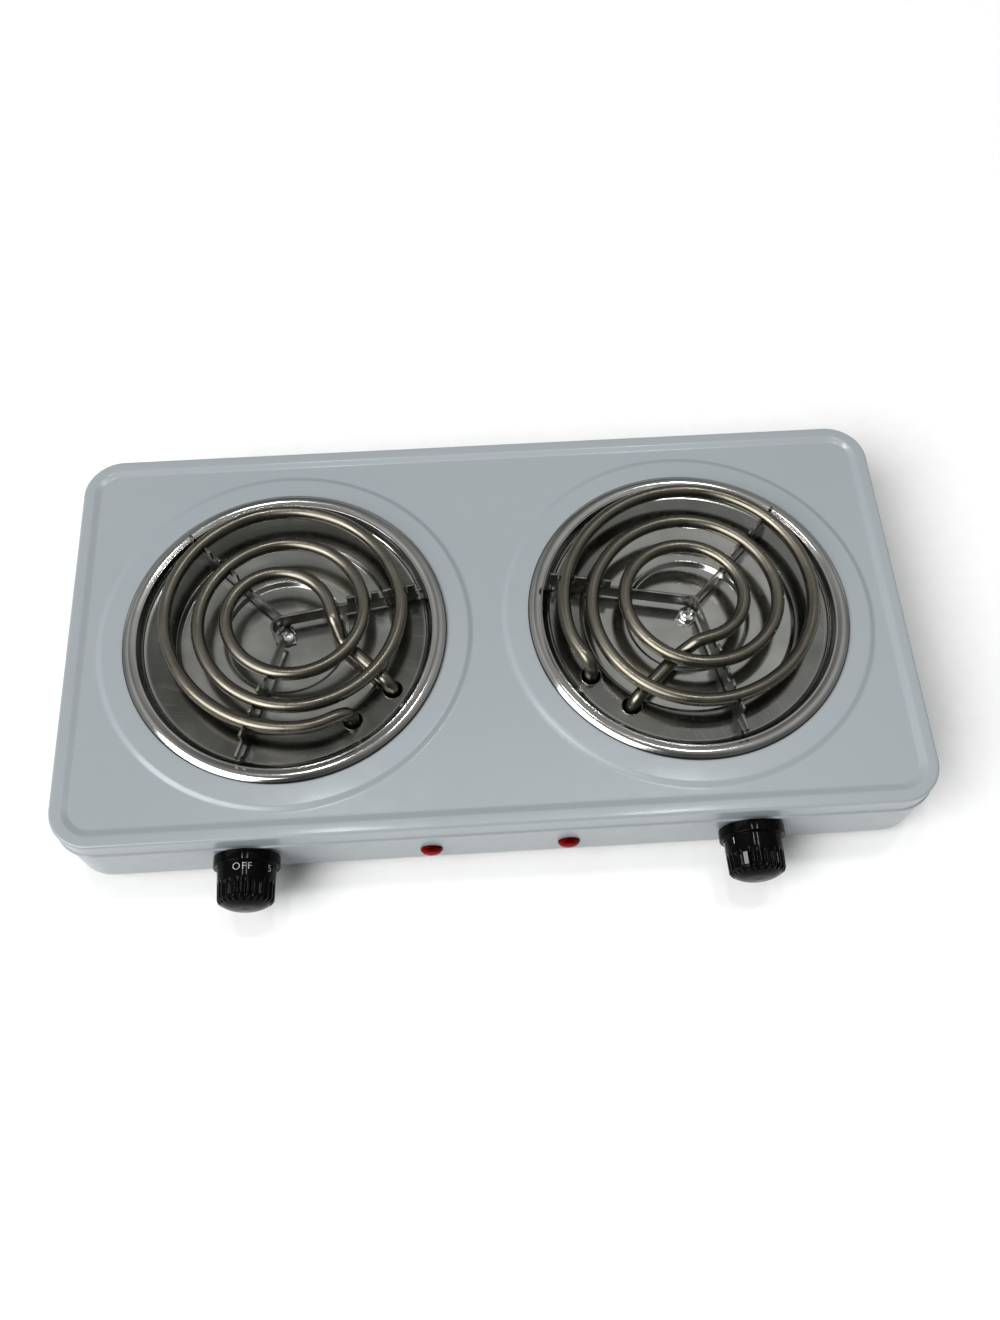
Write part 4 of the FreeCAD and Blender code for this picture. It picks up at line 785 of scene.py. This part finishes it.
def knobLine():
    # the half section from the cavity round to the tip, with close rings along the grip
    cavity, depth, rear, collar = knob["cavity"], knob["cavityDepth"], knob["rear"], knob["collar"]
    shoulder, nose, front, tip = knob["shoulder"], knob["nose"], knob["front"], knob["tip"]
    out, fall = knob["dome"]
    points = [(0, depth), (cavity, depth), (cavity, rear), (collar, rear), (collar, shoulder),
              (knob["radius"], shoulder), (nose, front), (nose * out, tip - (tip - front) * fall), (0, tip)]
    run = bendRun(points, knob["bends"], knob["bendStep"])
    line = []
    for before, after in zip(run, run[1:]):
        pieces = 1
        if after.y > knob["ringsFrom"]:
            pieces = max(1, math.ceil((after - before).length / knob["ringStep"]))
        line += [before.lerp(after, k / pieces) for k in range(pieces)]
    return line + [run[-1]]


def bandRadius(height):
    share = (height - knob["shoulder"]) / (knob["front"] - knob["shoulder"])
    return knob["radius"] + (knob["nose"] - knob["radius"]) * share


def flutedRadius(radius, height, angle):
    # angle is measured clockwise from the dial's own top, as seen from the front
    start, reach, half = knob["fluteStart"], knob["fluteFade"], knob["barWidth"] / 2
    fade = smoothStep(start, start + reach, height) * smoothStep(*knob["fluteCap"], radius)
    wave = 0.5 - 0.5 * math.cos(math.radians(angle) * knob["flutes"])
    away = abs((angle - knob["barAngle"] + 180) % 360 - 180)
    fade *= smoothStep(half, half + reach, away)
    return radius - knob["fluteDepth"] * fade * wave ** knob["fluteShape"]


def onKnob(radius, height, angle):
    a = math.radians(angle)
    return Vector((radius * math.sin(a) * mm, -height * mm, radius * math.cos(a) * mm))


def makeKnob(side):
    turn = knob["turned"][side]
    count = knob["flutes"] * knob["perFlute"]
    angles = [turn + 360 * k / count for k in range(count)]
    rings = []
    for radius, height in knobLine():
        if radius < 1e-6:
            rings.append([onKnob(0, height, 0)])
        else:
            rings.append([onKnob(flutedRadius(radius, height, a - turn), height, a) for a in angles])
    bm = bmesh.new()
    stitchRings(bm, rings)
    mesh = meshFrom(bm, "dial_" + side, outward=True)
    mesh.transform(knobPlace(side))
    shadeByAngle(mesh, knob["shading"])
    finishPiece(mesh, "dial_" + side, "knobGloss", "knob_" + side, ["knob_" + side])


def cutStrips(bm, start, end, step):
    # narrow strips across X, so that a flat shape can be bent round the dial
    cut = start
    while cut < end:
        everything = bm.verts[:] + bm.edges[:] + bm.faces[:]
        bmesh.ops.bisect_plane(bm, geom=everything, plane_co=(cut, 0, 0), plane_no=(1, 0, 0))
        cut += step


def markMesh(words):
    # flat lettering in millimetres
    curve = bpy.data.curves.new("mark", "FONT")
    curve.body = words
    curve.size = knob["markSize"]
    curve.align_x = "CENTER"
    curve.align_y = "BOTTOM_BASELINE"
    curve.extrude = knob["markHeight"]
    curve.space_character = knob["markSpacing"]
    curve.offset = -knob["markThin"]
    letter = addObject(curve)
    bm = bmesh.new()
    bm.from_mesh(plainMesh(letter))
    bpy.data.objects.remove(letter)
    bmesh.ops.remove_doubles(bm, verts=bm.verts, dist=knob["markWeld"])
    reach = max(abs(vert.co.x) for vert in bm.verts)
    cutStrips(bm, -reach, reach, knob["markStrip"])
    return bm


def barMesh():
    # a short index bar along the grip
    half = bandRadius(knob["front"]) * math.radians(knob["barWidth"]) / 2 * knob["barShare"]
    length = knob["barTo"] - knob["barFrom"]
    outline = [(-half, 0), (half, 0), (half, length), (-half, length)]
    bm = bmesh.new()
    levels = (-knob["markHeight"], knob["markHeight"])
    low, high = [[bm.verts.new((x, y, z)) for x, y in outline] for z in levels]
    bm.faces.new(low[::-1])
    bm.faces.new(high)
    for (lowFirst, lowNext), (highFirst, highNext) in zip(neighbours(low), neighbours(high)):
        bm.faces.new((lowFirst, lowNext, highNext, highFirst))
    cutStrips(bm, -half + knob["barStrip"], half, knob["barStrip"])
    return bm


def makeMarks(side):
    turn = knob["turned"][side]
    whole = bmesh.new()
    prints = [(markMesh(words), angle + turn, knob["markFrom"], 0) for words, angle in knob["marks"]]
    prints.append((barMesh(), knob["barAngle"] + turn, knob["barTo"], 1))
    for bm, angle, start, index in prints:
        for face in bm.faces:
            face.material_index = index
        for vert in bm.verts:
            height = start - vert.co.y
            around = angle + math.degrees(vert.co.x / bandRadius(height))
            vert.co = onKnob(bandRadius(height) + knob["markProud"] + vert.co.z, height, around)
        whole.from_mesh(meshFrom(bm, "mark"))
    bmesh.ops.transform(whole, matrix=knobPlace(side), verts=whole.verts)
    mesh = meshFrom(whole, "dialPrint_" + side, outward=True)
    mesh.materials.append(finishes["dialPrint"])
    mesh.materials.append(finishes["indexBar"])
    finishPiece(mesh, "dialPrint_" + side, None, "knob_" + side)


for sideName in sides:
    makeKnob(sideName)
    makeMarks(sideName)
print("stage: dials ready")


# lamps, in millimetres from the case's front

lamp = {
    "x": 38 * mm, "y": -108.9 * mm, "z": 22.5 * mm,
    "radius": 6.1, "reach": 3.9, "barrel": 4.8, "depth": 12.8, "wall": 1.4, "brim": 1.2, "dome": (0.72, 0.9),
    "bends": (0.5, 0.1, 0.1, 0.1, 0.25, 0.7, 3.0), "segments": 72, "shading": 40,
}


def lensFinish():
    # deep red, painted lighter towards its lower edge and darker at the top, a painted glow of the floor's
    # light coming through
    made = Finish("lampRed", **{"Specular IOR Level": 0.03})
    place = made.node("TexCoord")
    parts = made.node("SeparateXYZ")
    wire(made.tree, (place, "Object", parts, "Vector"))
    reach = lamp["radius"] * mm
    height = made.span(parts.outputs["Z"], lamp["z"] - reach, lamp["z"] + reach)
    cloud = made.cloud(260.0, 2.0)
    # painted glow below, painted shade above
    base = made.colours(height, (0.34, 0.001, 0.001), (0.03, 0.0, 0.0))
    made.colour(made.values(cloud, 0.0, 0.3), base, (0.26, 0.001, 0.001))
    made.roughness(cloud, 0.05, 0.10)


def makeLamp(side):
    barrel, depth, wall = lamp["barrel"], lamp["depth"], lamp["wall"]
    radius, reach = lamp["radius"], lamp["reach"]
    out, fall = lamp["dome"]
    bore = barrel - wall
    points = [(0, reach - wall), (bore, wall), (bore, -depth), (barrel, -depth), (barrel, 0),
              (radius, 0), (radius, lamp["brim"]), (radius * out, reach - fall), (0, reach)]
    mesh = latheMesh("lamp_" + side, bendRun(points, lamp["bends"]), lamp["segments"])
    facingFront = Matrix.Rotation(math.radians(90), 4, "X")
    mesh.transform(Matrix.Translation((sides[side] * lamp["x"], lamp["y"], lamp["z"])) @ facingFront)
    shadeByAngle(mesh, lamp["shading"])
    finishPiece(mesh, "lamp_" + side, "lampRed", "base", ["lamp_lens_" + side])


lensFinish()
for sideName in sides:
    makeLamp(sideName)
print("stage: lamps ready")


# screws and feet, one shape repeated at its points

screwHead = {
    "crown": 0.75, "crownShape": 0.8, "crownSteps": 7, "segments": 40, "shading": 38, "above": 1,
    "recess": 0.48, "arm": 0.16, "deep": 0.42, "narrow": 0.8,  # the cross recess, as shares
    "pitch": 0.7, "leastTurns": 3, "groove": 0.86, "point": 0.35, "pointStart": 0.3, "relief": 0.02,
}
footPlace = {"x": 196, "y": 92}


def screwLine(thread, head, height, length):
    crown = height * screwHead["crown"]
    steps = screwHead["crownSteps"]
    line = [(thread, -screwHead["relief"]), (head, 0), (head, height - crown)]
    for angle in [math.pi / 2 * k / steps for k in range(1, steps)]:
        radius = head * math.cos(angle) ** screwHead["crownShape"]
        line.append((radius, height - crown + crown * math.sin(angle)))
    turns = max(screwHead["leastTurns"], int(length / screwHead["pitch"]))
    shank = []
    for k in range(turns):  # the first ridges narrow to a point
        z = -length + length * k / turns
        full = min(1, k / 2 + screwHead["pointStart"])
        ridge = thread * (screwHead["point"] + (1 - screwHead["point"]) * full)
        shank += [(ridge, z), (thread * screwHead["groove"], z + length / turns * 0.5)]
    return [(0, -length)] + shank + line + [(0, height)]


def screwMesh(name, thread, head, height, length):
    # pan head with a cross recess, on a grooved shank; its seat is at z = 0
    blank = addObject(latheMesh(name, screwLine(thread, head, height, length), screwHead["segments"]))
    arm, reach = head * screwHead["arm"], head * screwHead["recess"]
    bottom = height - height * screwHead["deep"]
    levels = {-1: (screwHead["narrow"], bottom), 1: (1, height + screwHead["above"])}
    tools = []
    for wide, tall in ((reach, arm), (arm, reach)):
        tool = bmesh.new()
        for x, y, end in product((-1, 1), repeat=3):
            share, z = levels[end]
            tool.verts.new((x * wide * share * mm, y * tall * share * mm, z * mm))
        bmesh.ops.convex_hull(tool, input=tool.verts)
        tools.append(addObject(meshFrom(tool, "slot", outward=True)))
        addCut(blank, tools[-1])
    mesh = plainMesh(blank)
    for made in tools + [blank]:
        bpy.data.objects.remove(made)
    shadeByAngle(mesh, screwHead["shading"])
    return mesh


def quarterSpots(x, y, z):
    # one spot in each quarter of the case
    return [(a * x * mm, cover["middleY"] + b * y * mm, z * mm) for a, b in product((-1, 1), repeat=2)]


screws = {  # size: thread and head radius, head height, length
    "cover": {"size": (1.45, 2.9, 1.8, 6), "facing": (0, 1, 0),
              "spots": [(x * mm, 137.6 * mm, 48.8 * mm) for x in (-182, -67, 67, 182)]},
    "plate": {"size": (1.45, 2.9, 1.8, 6), "facing": (0, 0, -1), "spots": quarterSpots(231.8, 60, 8)},
    "foot": {"size": (1.95, 3.7, 2.4, 10.15), "facing": (0, 0, -1),
             "spots": quarterSpots(**footPlace, z=4.5)},
}
burnerScrew = {"size": (2.45, 5.4, 3.6, 11), "facing": (0, 0, 1), "seat": burner["top"] - 6.1 * mm}
for name, made in screws.items():
    shape = screwMesh(name + "Screw", *made["size"])
    atPoints(name + "Screws", shape, made["spots"], made["facing"], "screwPlated",
             [name + "_screws"])
for sideName, sign in sides.items():
    shape = screwMesh("burnerScrew", *burnerScrew["size"])
    spot = (sign * burner["x"], burner["y"], burnerScrew["seat"])
    atPoints("burnerScrew_" + sideName, shape, [spot], burnerScrew["facing"], "screwBright",
             ["burner_screw_" + sideName])

foot = {
    "height": 8, "radius": 11, "taper": 1.5, "edge": 1.0, "bore": 2.2, "recess": 4.5, "recessRadius": 4.2,
    "ribs": 3, "firstRib": 2.2, "ribStep": 1.7, "ribHalf": 0.5, "ribDepth": 0.3, "bendStep": 15,
    "ribBends": (0.15, 0.25, 0.15), "topBends": (0.2, 0, 0.2), "segments": 64, "shading": 45,
}


def footMesh():
    height, radius, bore, recess = foot["height"], foot["radius"], foot["bore"], foot["recess"]
    rim, half = radius - foot["taper"], foot["ribHalf"]
    points = [(foot["recessRadius"], 0), (rim, 0)]
    for k in range(foot["ribs"]):  # shallow moulded rings up the side
        z = foot["firstRib"] + k * foot["ribStep"]
        r = rim + foot["taper"] * z / height
        points += [(r, z - half), (r - foot["ribDepth"], z), (r, z + half)]
    points += [(radius, height), (bore, height), (bore, recess), (foot["recessRadius"], recess)]
    bends = [foot["edge"], *foot["ribBends"] * foot["ribs"], *foot["topBends"]]
    mesh = latheMesh("foot", bendRun(points, bends, foot["bendStep"]), foot["segments"], closed=True)
    shadeByAngle(mesh, foot["shading"])
    return mesh


atPoints("feet", footMesh(), quarterSpots(**footPlace, z=0), (0, 0, 1), "footRubber",
         ["foot_front_left", "foot_front_right", "foot_back_left", "foot_back_right"])
print("stage: screws and feet ready")


# case walls, bottom and inlet from their solids

cadCopy("body_shell", "caseWalls", "silverPaint", "painted_steel", 30)
cadCopy("bottom_plate", "bottomSheet", "zincSheet", "zinc_sheet", 30)
cadCopy("cord_grommet", "inletGrommet", "grommetRubber", "grommet_rubber", 40)

# pieces inside the case keep their solids; a name with braces stands for both sides
inside = {
    "zincSheet": ["burner_bridge_{}", "thermostat_frame_{}"],
    "screwPlated": ["foot_nuts", "burner_nuts", "bush_nuts", "earth_fixing", "stack_rivets", "lamp_clips",
                    "coil_pins_{}"],
    "turnedSteel": ["spindle_{}"],
    "plainBrass": ["thermostat_bush_{}", "spring_blade_{}", "terminal_screws"],
    "bimetalStrip": ["bimetal_blade_{}"],
    "stackCeramic": ["coil_beads_{}", "thermostat_ceramics_{}"],
    "bulbGlass": ["lamp_bulb_{}"],
    "terminalPlastic": ["terminal_block"],
    "wireBlack": ["live_wire_{}"],
    "wireRed": ["load_wire_{}"],
    "wireWhite": ["neutral_wire_{}", "lamp_leads_{}"],
    "wireGreen": ["earth_wire"],
}
for finish, names in inside.items():
    for name, sideName in product(names, sides):
        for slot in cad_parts[name.format(sideName)].material_slots:
            slot.material = finishes[finish]
print("stage: case ready")


# floor, light and camera

studio = {
    "floor": 12.0,
    "sky": ((0.0, 0.10), (0.55, 0.20), (0.85, 0.29), (0.97, 0.38), (1.0, 0.50)),  # brightness by height
    "shade": ((-0.55, 0.35), (0.15, 1.0)),  # darker behind the camera, by the direction's own y
    "fill": ((0.0, 1.0), (0.45, 2.2)),  # a brighter wall at the right, by its x
    "wall": ((-0.50, 2.4), (-0.28, 1.0)),  # and one at the left
    "backdrop": 0.94,  # what the camera itself sees above the floor
    "boxes": (  # place, width, height, power
        ((-5.2, -3.6, 6.2), 7.0, 6.0, 910),
        ((-0.9, 1.8, 7.8), 0.3, 0.9, 50),
        ((1.3, 1.8, 7.8), 0.3, 0.9, 50),
    ),
    "boxAim": (0, 0, 0),
    "cameraPlace": (-0.0119, -0.3041, 0.6511), "cameraAim": (0.0073, 0.0156, 0),
    "lens": 32.07, "sensor": 36, "near": 0.01,
}


def aimed(data, place, aim):
    made = addObject(data)
    made.location = place
    made.rotation_euler = (Vector(aim) - Vector(place)).to_track_quat("-Z", "Y").to_euler()
    return made


def makeWorld():
    # a plain room: brightness by height, times three factors by direction
    world = bpy.data.worlds.new("studio")
    bpy.context.scene.world = world
    world.use_nodes = True
    tree = world.node_tree
    room = tree.nodes["Background"]
    place = shaderNode(tree, "TexCoord")
    parts = shaderNode(tree, "SeparateXYZ")
    ramp = shaderNode(tree, "ValToRGB")
    stops = ramp.color_ramp.elements
    for index, (height, level) in enumerate(studio["sky"]):
        stop = stops[index] if index < 2 else stops.new(height)
        stop.position = height
        stop.color = (level, level, level, 1)
    wire(tree, (place, "Generated", parts, "Vector"), (parts, "Z", ramp, "Fac"),
         (ramp, "Color", room, "Color"))
    strength = None
    for label, axis in (("shade", "Y"), ("fill", "X"), ("wall", "X")):
        (start, startLevel), (end, endLevel) = studio[label]
        limits = {"From Min": start, "From Max": end, "To Min": startLevel, "To Max": endLevel}
        step = shaderNode(tree, "MapRange", limits)
        both = shaderNode(tree, "Math", {0: 1}, operation="MULTIPLY")
        wire(tree, (parts, axis, step, "Value"), (step, "Result", both, 1))
        if strength:
            wire(tree, (strength, "Value", both, 0))
        strength = both
    level = studio["backdrop"]
    backdrop = shaderNode(tree, "Background", {"Color": (level, level, level, 1)})
    seen = shaderNode(tree, "LightPath")
    either = shaderNode(tree, "MixShader")
    wire(tree, (strength, "Value", room, "Strength"), (seen, "Is Camera Ray", either, 0),
         (room, "Background", either, 1), (backdrop, "Background", either, 2),
         (either, "Shader", tree.nodes["World Output"], "Surface"))


half = studio["floor"] / 2
corners = [(x * half, y * half, 0) for x, y in ((-1, -1), (1, -1), (1, 1), (-1, 1))]
mesh = bpy.data.meshes.new("floor")
mesh.from_pydata(corners, [], [(0, 1, 2, 3)])
mesh.materials.append(finishes["paleFloor"])
floor = addObject(mesh)
makeWorld()
for index, (place, width, height, power) in enumerate(studio["boxes"]):
    light = bpy.data.lights.new(f"softbox{index}", "AREA")
    light.shape = "RECTANGLE"
    light.size = width
    light.size_y = height
    light.energy = power
    aimed(light, place, studio["boxAim"])
camera = bpy.data.cameras.new("camera")
camera.lens = studio["lens"]
camera.sensor_width = studio["sensor"]
camera.clip_start = studio["near"]
bpy.context.scene.camera = aimed(camera, studio["cameraPlace"], studio["cameraAim"])
bpy.context.scene.view_settings.view_transform = "Standard"
print("stage: studio ready")
